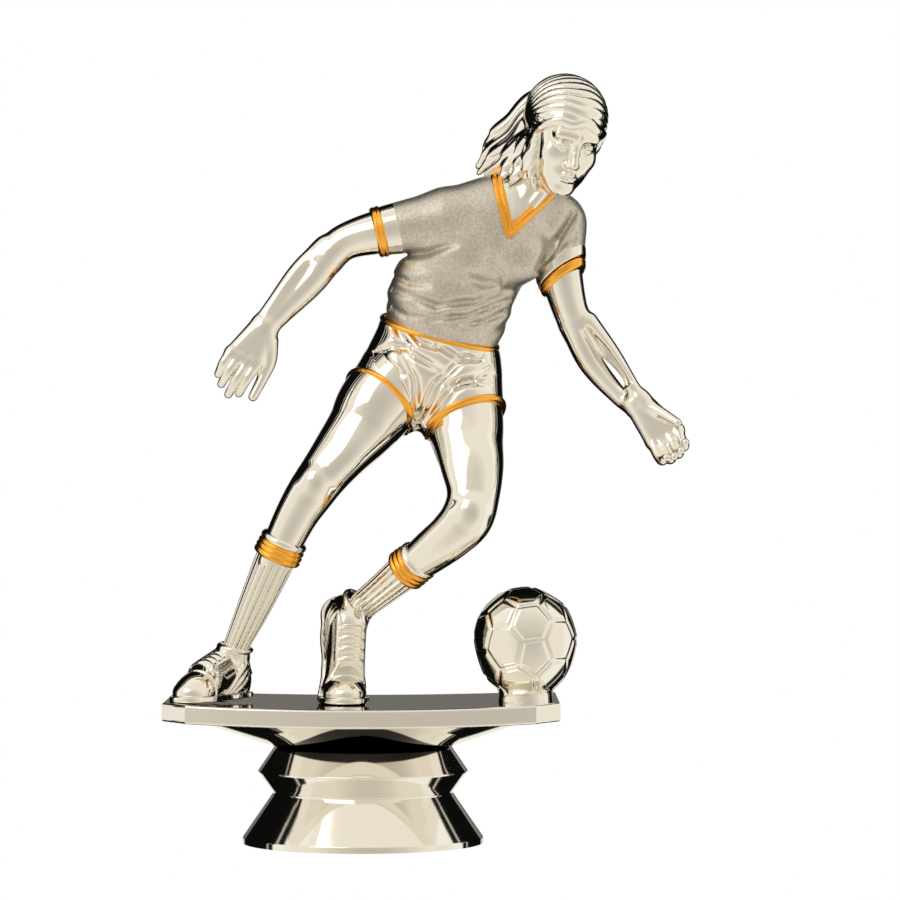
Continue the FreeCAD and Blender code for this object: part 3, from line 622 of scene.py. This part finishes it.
SOCKS = {
    "right": dict(line=[(-13.4, -6.0, 52.4, 3.3), (-15.0, -5.4, 49.0, 3.45), (-18.6, -4.0, 41.0, 2.9),
                        (-21.4, -2.8, 35.0, 2.3), (-22.6, -2.2, 32.0, 2.3)]),
    "left": dict(line=[(9.7, -7.6, 49.0, 3.0), (7.4, -6.4, 47.2, 3.15), (3.6, -3.8, 44.0, 2.8),
                       (0.2, -1.4, 41.2, 2.6), (-1.6, -0.2, 39.4, 2.6)]),
}
for side, sock in SOCKS.items():
    line = sock["line"]
    top, end = np.array(line[0][:3]), np.array(line[-1][:3])
    down = unit(end - top)
    smooth = limb(line)
    knit = both(0.2, ribbed(smooth, top, end, 16, 0.5), plane(top, -down))
    dress(sculpt("sock_" + side, knit, ["sock_" + side], 0.17), SILVER, "sock_" + side)
    roll = bead(grown(smooth, 0.1), plane(top + down * 0.1, down), 0.72)
    dress(sculpt("sock_roll_" + side, roll, ["sock_cuff_" + side], 0.17), SILVER)
    rings = ring_stack(grown(smooth, 0.2), top, down, (1.15, 2.05, 2.95), 0.56)
    dress(sculpt("sock_rings_" + side, rings, ["sock_cuff_" + side], 0.15), GOLD, "sock_cuff_" + side)


# arms
def hand(wrist, knuckles, tips, thumb, bend):
    """A palm fanned from the wrist to the knuckles, four fingers bent at bend, and a thumb chain."""
    wrist = np.array(wrist, float)
    palm = []
    fingers = []
    for i, (knuckle, tip) in enumerate(zip(knuckles, tips)):
        knuckle, tip = np.array(knuckle, float), np.array(tip, float)
        start = wrist + (knuckle - np.mean(knuckles, axis=0)) * 0.42
        palm.append(tube(start, knuckle, 1.35, 1.15))
        middle = (knuckle + tip) / 2 + np.array(bend)
        fingers.append(limb([(*knuckle, 1.0), (*middle, 0.9), (*tip, 0.72)]))
    return blend(0.7, blend(1.3, *palm), blend(0.12, *fingers), limb(thumb))


arm_right = blend(0.9,
                  limb([(12.0, -5.0, 107.2, 4.0), (3.8, -5.2, 105.6, 3.85), (-2.5, -4.8, 103.9, 3.2),
                         (-5.8, -4.6, 101.5, 3.1)]),
                  limb([(-6.4, -4.9, 100.4, 2.9), (-9.1, -5.2, 96.8, 2.7), (-13.7, -6.6, 91.9, 2.2),
                         (-16.3, -7.6, 89.0, 1.85)]),
                  limb([(-6.6, -5.0, 103.0, 1.7), (-11.0, -6.0, 98.6, 1.6), (-15.2, -7.4, 93.0, 1.25),
                         (-17.2, -7.8, 90.2, 1.2)]))
hand_right = hand((-16.8, -7.7, 89.0),
                  [(-22.3, -9.6, 84.6), (-20.9, -9.6, 83.8), (-19.3, -9.5, 83.0), (-17.7, -9.2, 82.8)],
                  [(-24.5, -9.4, 80.9), (-24.0, -9.3, 79.2), (-22.8, -9.4, 77.4), (-21.0, -9.3, 77.6)],
                  [(-15.8, -7.8, 86.6, 1.5), (-15.9, -8.2, 83.2, 1.3), (-17.0, -8.8, 80.2, 1.0),
                   (-18.6, -9.4, 77.0, 0.8)],
                  (-0.1, -0.9, 0.1))
arm_left = blend(0.55,
                 limb([(34.0, 1.4, 103.0, 3.6), (34.6, 1.8, 97.6, 3.55), (35.9, 2.2, 92.4, 3.1),
                        (37.4, 3.0, 89.2, 3.1)]),
                 limb([(36.5, 2.4, 89.6, 2.5), (39.6, 2.4, 83.0, 2.2), (44.4, 0.6, 77.3, 1.7),
                        (46.6, -0.4, 75.2, 1.4)]),
                 limb([(38.9, 1.6, 90.0, 2.0), (42.9, 0.4, 84.4, 1.8), (46.4, -0.8, 78.9, 1.45),
                        (48.2, -1.2, 76.8, 1.3)]))
hand_left = hand((47.4, -0.9, 76.2),
                 [(49.9, -2.2, 69.2), (51.3, -2.4, 69.4), (53.0, -2.5, 70.2), (54.4, -2.4, 71.4)],
                 [(52.2, -6.2, 66.6), (53.5, -6.6, 66.8), (54.7, -6.4, 67.8), (55.5, -5.8, 69.2)],
                 [(48.8, -1.6, 75.6, 1.4), (50.6, -2.6, 74.8, 1.1), (52.6, -3.8, 73.6, 0.9),
                  (54.2, -4.8, 72.6, 0.75)],
                 (0.3, -0.6, -1.7))
forearm_groove = ([(38.2, 89.2), (41.6, 84.8), (45.8, 78.8)], 3.0, 0.8)
arm_left = creased(arm_left, [forearm_groove])
dress(sculpt("arm_right", blend(0.9, arm_right, hand_right), ["arm_right"], 0.2), SILVER, "arm_right")
dress(sculpt("arm_left", blend(0.9, arm_left, hand_left), ["arm_left"], 0.2), SILVER, "arm_left")


# head: local axes are right, back and up; features are mirrored in x
def rotation(axis, degrees):
    c, s = math.cos(math.radians(degrees)), math.sin(math.radians(degrees))
    turn = np.eye(3)
    i, j = [(1, 2), (2, 0), (0, 1)][axis]
    turn[i, i], turn[i, j], turn[j, i], turn[j, j] = c, -s, s, c
    return turn


HEAD = np.array((34.5, -6.4, 121.9))
HEAD_TURN = rotation(1, 9) @ rotation(2, 22) @ rotation(0, 22)


def mirrored(field):
    return lambda q: field(np.column_stack([np.abs(q[:, 0]), q[:, 1:]]))


def in_head(field):
    return lambda p: field((p - HEAD) @ HEAD_TURN)


skull = mirrored(blend(2.2, blob((0, 1.3, 2.9), (6.3, 7.5, 6.2)), blob((0, -2.6, -1.6), (5.1, 4.6, 6.9)),
                       tube((3.7, 0.4, -3.4), (0.9, -5.2, -7.4), 2.0, 1.6)))
face = blend(1.2, skull, mirrored(blob((2.9, -4.6, -2.2), (2.1, 1.9, 2.2))),
             blob((0, -5.9, -7.5), (1.6, 1.3, 1.3)),
             mirrored(blob((2.1, -4.5, -4.6), (1.8, 1.7, 2.2))),
             mirrored(tube((0.5, -6.8, 2.1), (3.3, -5.9, 2.0), 0.85, 0.75)), blob((0, -6.0, -4.9), (2.2, 1.5, 1.7)))
face = without(0.9, face, mirrored(blob((2.3, -7.9, 0.25), (1.45, 1.45, 1.05))))
face = blend(0.25, face, mirrored(blob((2.3, -5.5, 0.05), (1.25, 1.2, 1.05))))
face = blend(0.2, face,
             mirrored(chain([(1.15, -6.45, 0.05, 0.2), (1.9, -6.85, 0.55, 0.24), (2.8, -6.7, 0.55, 0.24),
                             (3.5, -6.0, 0.1, 0.18)], 0.2)),
             mirrored(chain([(1.2, -6.4, -0.15, 0.15), (2.2, -6.7, -0.6, 0.17), (3.4, -6.0, -0.1, 0.14)], 0.2)))
face = blend(0.7, face, chain([(0, -6.7, 1.4, 0.7), (0, -7.5, -0.8, 0.62), (0, -8.35, -2.4, 0.78)], 0.4),
             mirrored(blob((0.8, -7.4, -2.8), (0.55, 0.75, 0.5))))
face = blend(0.3, face,
             mirrored(chain([(0, -7.5, -4.55, 0.36), (0.7, -7.45, -4.45, 0.38), (1.6, -6.9, -4.9, 0.2)], 0.3)),
             mirrored(chain([(0, -7.35, -5.5, 0.46), (0.9, -7.15, -5.4, 0.4), (1.5, -6.85, -5.1, 0.2)], 0.3)))
ear = without(0.2, blob((5.3, -0.2, -0.9), (1.0, 1.5, 2.2)), blob((6.1, -0.5, -0.5), (0.6, 0.8, 1.3)))
face = blend(0.4, face, mirrored(ear))
neck = blend(1.0, tube((26.6, -2.2, 109.0), (32.4, -4.4, 118.0), 3.8, 3.4),
             tube((26.4, -6.4, 107.6), (30.4, -5.2, 116.6), 0.9, 1.1),
             tube((27.4, -6.4, 107.8), (33.0, -6.0, 114.6), 0.9, 1.1))
chest = both(0.5, grown(body_form, -0.7), plane((27, -0.6, 108), (0, 1, 0)), grown(collar_distance, 0.6),
             plane((26, -4, 115), (0, 0, 1)))
head = blend(1.4, in_head(face), blend(0.8, neck, chest))
dress(sculpt("head", head, ["head"], 0.17), SILVER, "head")


def combed(q):
    """Ridges of hair combed across the crown from temple to temple."""
    angle = np.arctan2(q[:, 2] - 1.0, 2.5 - q[:, 1])
    wave = angle * 17 + 0.5 * np.sin(q[:, 0] * 0.5 + 1) + 0.35 * np.sin(q[:, 0] * 0.9 + angle * 3)
    from_ear = np.hypot(q[:, 2] - 1.0, 2.5 - q[:, 1])
    return 0.26 * np.clip((from_ear - 2.5) / 3.0, 0, 1) * (np.abs(np.sin(wave)) ** 0.7 - 0.45)


cap = blob((0, 1.4, 3.0), (7.1, 8.1, 7.1))
hairline = plane((0, -5.0, 3.2), unit((0, -0.67, -0.74)))


def wavy_hairline(q):
    return hairline(q) + 0.35 * np.sin(q[:, 0] * 1.15 + 0.4)


hair_roll = bead(grown(cap, -0.25), wavy_hairline, 0.75)
hair_cap = blend(0.5, both(0.6, lambda q: cap(q) - combed(q), wavy_hairline), hair_roll)
LOCKS = [
    [(34.5, 0.0, 129.6, 2.2), (29.6, 0.4, 127.8, 2.3), (26.4, 0.8, 124.6, 2.1), (23.4, 1.2, 122.6, 1.6),
     (21.2, 1.4, 119.8, 0.7)],
    [(33.4, -2.4, 128.0, 2.0), (29.2, -1.8, 125.6, 2.0), (26.0, -1.0, 122.0, 1.9), (22.8, -0.2, 119.9, 1.5),
     (20.0, 0.2, 117.2, 0.6)],
    [(32.6, -4.6, 126.4, 1.7), (28.9, -4.2, 124.2, 1.7), (26.2, -3.2, 120.8, 1.7), (23.0, -2.0, 118.6, 1.4),
     (20.2, -1.2, 115.9, 0.5)],
    [(31.8, -6.2, 125.0, 1.4), (29.6, -6.0, 122.4, 1.5), (26.4, -4.8, 119.8, 1.5), (23.8, -3.4, 116.9, 1.2),
     (21.4, -2.6, 115.4, 0.5)],
    [(31.6, -7.4, 126.2, 1.2), (31.0, -8.0, 123.6, 1.2), (28.6, -7.2, 121.0, 1.2), (26.9, -6.0, 118.6, 1.2),
     (24.6, -4.6, 116.0, 0.6)],
    [(31.2, -8.8, 126.0, 0.9), (31.0, -9.0, 123.2, 0.95), (28.9, -8.2, 120.4, 0.95), (28.3, -7.4, 118.2, 0.9),
     (26.7, -6.4, 115.8, 0.4)],
    [(31.4, -9.4, 124.4, 0.7), (30.5, -9.3, 121.6, 0.8), (29.2, -8.4, 119.4, 0.8), (28.8, -7.4, 117.2, 0.75),
     (28.0, -6.6, 115.0, 0.4)],
    [(31.7, -9.3, 125.6, 0.8), (30.5, -9.8, 122.6, 1.0), (29.5, -9.2, 119.2, 1.0), (28.9, -8.3, 115.8, 0.9),
     (29.5, -7.7, 112.8, 0.4)],
    [(31.0, -9.3, 123.6, 0.7), (29.3, -9.0, 120.4, 0.85), (28.1, -8.1, 116.9, 0.8), (28.2, -7.3, 113.6, 0.4)],
    [(27.8, -5.6, 120.4, 1.2), (25.6, -5.0, 117.4, 1.3), (24.6, -5.2, 115.6, 1.0), (23.4, -5.2, 114.4, 0.4)],
    [(29.0, -7.0, 119.4, 1.1), (27.2, -6.6, 117.0, 1.2), (26.4, -6.8, 115.2, 0.9), (25.4, -6.8, 113.8, 0.4)],
    [(37.0, 0.6, 122.6, 4.8), (33.0, 1.6, 119.8, 4.4), (29.6, 2.0, 117.6, 3.4), (26.8, 1.8, 116.0, 1.6)],
    [(32.0, 0.0, 124.0, 4.0), (28.4, 0.2, 120.8, 3.6), (25.6, 0.2, 118.0, 2.7), (23.2, 0.4, 116.4, 1.2)],
    [(33.0, 3.4, 128.0, 3.0), (28.4, 3.6, 124.4, 2.4), (25.0, 3.6, 120.8, 1.9), (22.4, 3.0, 118.0, 0.8)],
    [(34.5, 4.6, 125.0, 3.0), (30.4, 5.2, 119.8, 2.5), (27.4, 4.4, 116.6, 1.9), (25.0, 3.2, 115.0, 0.8)],
    [(37.0, 3.6, 123.0, 2.6), (34.6, 4.4, 118.8, 2.2), (32.4, 4.2, 116.2, 1.6), (30.8, 3.4, 114.6, 0.7)]]
SWEEP = unit((-0.70, 0.0, -0.71))


def strands(p):
    """Fine waving grooves along the sweep of the locks."""
    along = p @ SWEEP
    across = p @ np.cross(SWEEP, (0.0, 1.0, 0.0)) + 0.5 * p[:, 1]
    return 0.11 * np.sin(across * 4.2 + 1.3 * np.sin(along * 0.55 + p[:, 1] * 0.3))


locks = blend(0.5, *[limb(line) for line in LOCKS])
hair = blend(0.5, in_head(hair_cap), lambda p: locks(p) + strands(p))
hair = without(0.2, hair, grown(in_head(skull), -0.7))
dress(sculpt("hair", hair, ["hair"], 0.18, 3.0), SILVER, "hair")

# boots: local axes are toe, side and up from under the ankle
outline = blend(1.5, tube((-2.0, 0, 0), (1.5, 0, 0), 2.5, 2.3), tube((1.5, 0, 0), (10.4, 0, 0), 2.3, 3.1),
                tube((10.4, 0, 0), (12.8, 0, 0), 3.1, 2.8))
boot_upper = blend(1.4, blob((-1.7, 0, 3.0), (2.9, 2.6, 3.8)),
                   tube((0.2, 0, 6.2), (7.0, 0, 4.2), 2.9, 2.75), tube((1.0, 0, 3.2), (8.0, 0, 2.6), 2.6, 2.8),
                   blob((9.6, 0, 2.3), (4.2, 3.0, 3.0)), blob((11.6, 0, 1.5), (3.6, 3.1, 2.1)))


def flat_outline(q):
    return outline(q * np.array((1.0, 1.0, 0.0)))


def strip(q, half):
    return np.abs(q[:, 1]) - half


boot_sole = both(0.25, grown(flat_outline, 0.35), plane((0, 0, 1.0), (0, 0, 1)),
                 plane((0, 0, 0), (0, 0, -1)))
LACE_AT = [1.8, 3.1, 4.4, 5.7, 7.0, 8.3]
laces = [both(0.2, bead(boot_upper, plane((t, 0, 7.0), unit((1, 0, 0.3))), 0.36), lambda q: strip(q, 2.0),
              plane((0, 0, 3.6), (0, 0, -1))) for t in LACE_AT]
side_straps = [both(0.2, bead(boot_upper, plane((t, 0, 2.0), unit((1, 0, 0.9))), 0.3),
                    lambda q: -strip(q, 2.0)) for t in (0.6, 2.2, 3.8)]
eyelet_edges = both(0.2, bead(boot_upper, lambda q: strip(q, 2.1), 0.3), plane((9.2, 0, 0), (1, 0, 0)),
                    plane((0, 0, 4.0), (0, 0, -1)))
toe_seam = plane((9.6, 0, 2.0), unit((1, 0, -0.35)))


def boot_form(q):
    """The upper with a fine groove behind its toe cap."""
    return boot_upper(q) + 0.2 * np.exp(-(toe_seam(q) / 0.22) ** 2)


boot = blend(0.25, both(0.3, boot_form, plane((0, 0, 0.1), (0, 0, -1))), boot_sole, eyelet_edges,
             *laces, *side_straps)


def ankle(start, end, radius):
    """The padded top of a boot round the sock, from the heel at start to the collar at end."""
    start, end = np.array(start, float), np.array(end, float)
    out = unit(end - start)
    shaft = tube(start, end, radius, radius)
    return blend(0.3, both(0.3, shaft, plane(end, out)), bead(shaft, plane(end - out * 0.4, out), 0.42))


def framed(origin, toe, up, stretch=1.0, widen=1.0):
    """Map from points to boot axes."""
    toe = unit(toe)
    up = np.array(up, float)
    up = unit(up - toe * (up @ toe))
    axes = np.array([toe / stretch, np.cross(up, toe) / widen, up])
    origin = np.array(origin, float)
    return lambda p: (p - origin) @ axes.T


deck_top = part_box("deck")[1][2] / MM
right_ground = (-23.0, -1.2, 25.0)
right_map = framed(right_ground, (-0.5, -0.866, 0), (0, 0, 1), 1.0, 1.08)
right_ankle = ankle((-22.9, -1.8, 28.6), (-21.9, -2.6, 34.2), 2.75)
boot_right = blend(0.8, lambda p: boot(right_map(p)), right_ankle)
dress(sculpt("boot_right", boot_right, ["boot_right"], 0.17), SILVER, "boot_right")

BEND_T, BEND_U = 9.0, 2.0
bend_point = np.array((-3.3, -3.0, 26.4))
rear_toe, rear_up = unit((0.04, -0.24, -0.97)), np.array((0.30, -0.93, 0.2))
rear_up = unit(rear_up - rear_toe * (rear_up @ rear_toe))
STRETCH = 1.22
rear_map = framed(bend_point - rear_toe * BEND_T * STRETCH - rear_up * BEND_U, rear_toe, rear_up,
                  STRETCH, 1.12)
front_toe = unit((0.12, -1.0, 0))
front_map = framed(bend_point - front_toe * BEND_T - np.array((0, 0, BEND_U)), front_toe, (0, 0, 1),
                   1.0, 1.15)

# the same boot flexed at the ball of the foot: its heel and toe halves run together across the flex
flex_out = unit(rear_toe + front_toe)
heel_half = both(0.3, lambda p: boot(rear_map(p)), plane(bend_point + flex_out * 0.5, flex_out))
toe_half = both(0.3, lambda p: boot(front_map(p)), plane(bend_point - flex_out * 0.5, -flex_out))
left_ankle = ankle((-3.6, -0.6, 38.8), (-0.6, -2.6, 41.4), 2.9)
boot_left = blend(0.8, blend(0.7, heel_half, toe_half), left_ankle)
dress(sculpt("boot_left", boot_left, ["boot_left"], 0.17), SILVER, "boot_left")


# ball
def truncated_icosahedron():
    """Unit normals of the 12 pentagons and 20 hexagons."""
    g = (1 + math.sqrt(5)) / 2
    pentagons = np.array([unit(v) for a in (-1, 1) for b in (-g, g)
                          for v in ((0, a, b), (a, b, 0), (b, 0, a))])
    next_to = 1 / math.sqrt(5)
    hexagons = []
    for i in range(12):
        for j in range(i + 1, 12):
            for k in range(j + 1, 12):
                trio = pentagons[[i, j, k]]
                cosines = [trio[0] @ trio[1], trio[1] @ trio[2], trio[0] @ trio[2]]
                if np.allclose(cosines, next_to, atol=0.01):
                    hexagons.append(unit(trio.sum(axis=0)))
    return pentagons, np.array(hexagons)


ball_low, ball_high = [np.array(c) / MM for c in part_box("football")]
BALL_R = (ball_high[0] - ball_low[0]) / 2
ball_centre = np.array([(ball_low[0] + ball_high[0]) / 2, (ball_low[1] + ball_high[1]) / 2,
                        ball_high[2] - BALL_R])
pentagons, hexagons = truncated_icosahedron()
BALL_SAG = 1.2                   # the lower half is drawn down to its seat
SEAT_Z = 24.6                    # the seat ends inside the deck
FACE_HEIGHTS = [0.9393] * 12 + [0.9149] * 20     # pentagons and hexagons, for corners at 1
face_out = unit((0.17, -0.94, -0.28))
first = pentagons[0]
turn_axis = unit(np.cross(first, face_out))
turn_angle = math.acos(first @ face_out)
cross_matrix = np.array([[0, -turn_axis[2], turn_axis[1]], [turn_axis[2], 0, -turn_axis[0]],
                         [-turn_axis[1], turn_axis[0], 0]])
ball_turn = (np.eye(3) + math.sin(turn_angle) * cross_matrix
             + (1 - math.cos(turn_angle)) * cross_matrix @ cross_matrix)
faces = np.vstack([pentagons, hexagons]) @ ball_turn.T
face_heights = np.array(FACE_HEIGHTS)


def ball_field(p):
    q = p - ball_centre
    q[:, 2] = np.where(q[:, 2] < 0, q[:, 2] / BALL_SAG, q[:, 2])
    r = length(q)
    reach = (q @ faces.T) / face_heights
    best = np.partition(reach, -2, axis=1)
    nearest, second = best[:, -1], best[:, -2]
    seam = (nearest - second) * 1.1
    flat = nearest * 0.955 - BALL_R * 0.985
    ball = 0.5 * (r - BALL_R) + 0.5 * flat
    return ball + 0.3 * np.exp(-(seam / 0.32) ** 2)


ball_seat = tube((ball_centre[0], ball_centre[1], deck_top - 1.0),
                 (ball_centre[0], ball_centre[1], ball_centre[2] - 8.0), 4.8, 4.4)
ball_solid = blend(0.8, ball_field, both(0.3, ball_seat, plane((0, 0, SEAT_Z), (0, 0, -1))))
dress(sculpt("ball", ball_solid, ["football"], 0.2), SILVER, "football")


# ---- floor, light and camera ----------------------------------------------------------------------
def studio_world():
    """Cream panels to the front, a dark ring round the sides, plain white where the camera looks."""
    world = bpy.data.worlds.new("studio")
    bpy.context.scene.world = world
    world.use_nodes = True
    nodes, links = world.node_tree.nodes, world.node_tree.links
    nodes.clear()

    def math_node(kind, a, b=None):
        node = nodes.new("ShaderNodeMath")
        node.operation = kind
        for socket, value in zip(node.inputs, (a, b)):
            if value is None:
                continue
            if isinstance(value, (int, float)):
                socket.default_value = value
            else:
                links.new(value, socket)
        return node.outputs[0]

    place = nodes.new("ShaderNodeTexCoord")
    split = nodes.new("ShaderNodeSeparateXYZ")
    links.new(place.outputs["Generated"], split.inputs[0])
    x, y, z = split.outputs

    def ramp(factor, stops):
        node = nodes.new("ShaderNodeValToRGB")
        elements = node.color_ramp.elements
        while len(elements) < len(stops):
            elements.new(0.5)
        for element, (position, colour) in zip(elements, stops):
            element.position = position
            element.color = (*colour, 1)
        links.new(factor, node.inputs[0])
        return node.outputs[0]

    cream, bright = (0.93, 0.88, 0.78), (1.0, 0.97, 0.90)
    grey, horizon = (0.60, 0.56, 0.49), (0.16, 0.15, 0.14)
    dark, none, full = (0.004, 0.004, 0.004), (0, 0, 0), (1, 1, 1)
    lean = math_node("ADD", y, math_node("MULTIPLY", x, -0.15))
    depth = math_node("MULTIPLY_ADD", lean, 0.5)
    depth.node.inputs[2].default_value = 0.5
    front = ramp(depth, [(0.0, grey), (0.22, cream), (0.43, cream), (0.48, bright), (0.612, bright),
                         (0.626, dark), (0.668, dark), (0.678, grey), (0.686, grey), (0.696, dark),
                         (1.0, dark)])
    height = math_node("MULTIPLY_ADD", z, 0.5)
    height.node.inputs[2].default_value = 0.5
    back = ramp(height, [(0.0, cream), (0.44, cream), (0.48, horizon), (0.55, horizon), (0.60, grey),
                         (1.0, cream)])
    rear = math_node("MULTIPLY_ADD", y, 0.5)
    rear.node.inputs[2].default_value = 0.5
    behind = ramp(rear, [(0.0, none), (0.955, none), (0.965, full), (1.0, full)])

    def mixed(factor, a, b):
        node = nodes.new("ShaderNodeMix")
        node.data_type = "RGBA"
        for socket, value in ((0, factor), (6, a), (7, b)):
            links.new(value, node.inputs[socket])
        return node.outputs[2]

    reflected = nodes.new("ShaderNodeBackground")
    links.new(mixed(behind, front, back), reflected.inputs["Color"])
    plain = nodes.new("ShaderNodeBackground")
    plain.inputs["Color"].default_value = (1, 1, 1, 1)
    plain.inputs["Strength"].default_value = 1.0
    rays = nodes.new("ShaderNodeLightPath")
    choose = nodes.new("ShaderNodeMixShader")
    links.new(rays.outputs["Is Camera Ray"], choose.inputs[0])
    links.new(reflected.outputs[0], choose.inputs[1])
    links.new(plain.outputs[0], choose.inputs[2])
    output = nodes.new("ShaderNodeOutputWorld")
    links.new(choose.outputs[0], output.inputs[0])


def pale_floor():
    """A round white floor, left out of the mirror images so that the plating keeps its dark accents."""
    count, radius = 96, 0.42
    ring = [(radius * math.cos(2 * math.pi * i / count), radius * math.sin(2 * math.pi * i / count), 0)
            for i in range(count)]
    mesh = bpy.data.meshes.new("floor")
    mesh.from_pydata(ring, [], [list(range(count))])
    floor = bpy.data.objects.new("floor", mesh)
    floor.visible_glossy = False
    bpy.context.scene.collection.objects.link(floor)
    material = bpy.data.materials.new("pale_floor")
    material.use_nodes = True
    nodes, links = material.node_tree.nodes, material.node_tree.links
    nodes.clear()
    glow = nodes.new("ShaderNodeEmission")
    glow.inputs["Color"].default_value = (1, 1, 1, 1)
    output = nodes.new("ShaderNodeOutputMaterial")
    links.new(glow.outputs[0], output.inputs[0])
    mesh.materials.append(material)


def soft_light(name, place, aim, size, power):
    data = bpy.data.lights.new(name, "AREA")
    data.size = size
    data.energy = power
    data.color = (1.0, 0.97, 0.92)
    lamp = bpy.data.objects.new(name, data)
    lamp.location = place
    lamp.rotation_euler = (Vector(aim) - Vector(place)).to_track_quat("-Z", "Y").to_euler()
    bpy.context.scene.collection.objects.link(lamp)


def camera_at_photo():
    """Level with the figure's waist, far enough back for the photograph's flat perspective."""
    distance, span, height, aside = 0.700, 0.1559, 0.0679, 0.01507
    data = bpy.data.cameras.new("camera")
    data.sensor_width = 36
    data.lens = data.sensor_width * distance / span
    data.clip_start = 0.01
    camera = bpy.data.objects.new("camera", data)
    camera.location = (aside, -distance, height)
    camera.rotation_euler = (math.pi / 2, 0, 0)
    bpy.context.scene.collection.objects.link(camera)
    bpy.context.scene.camera = camera


studio_world()
pale_floor()
soft_light("key", (-0.35, -0.5, 0.55), (0.01, 0, 0.07), 0.5, 0.6)
camera_at_photo()
bpy.context.scene.view_settings.view_transform = "Standard"
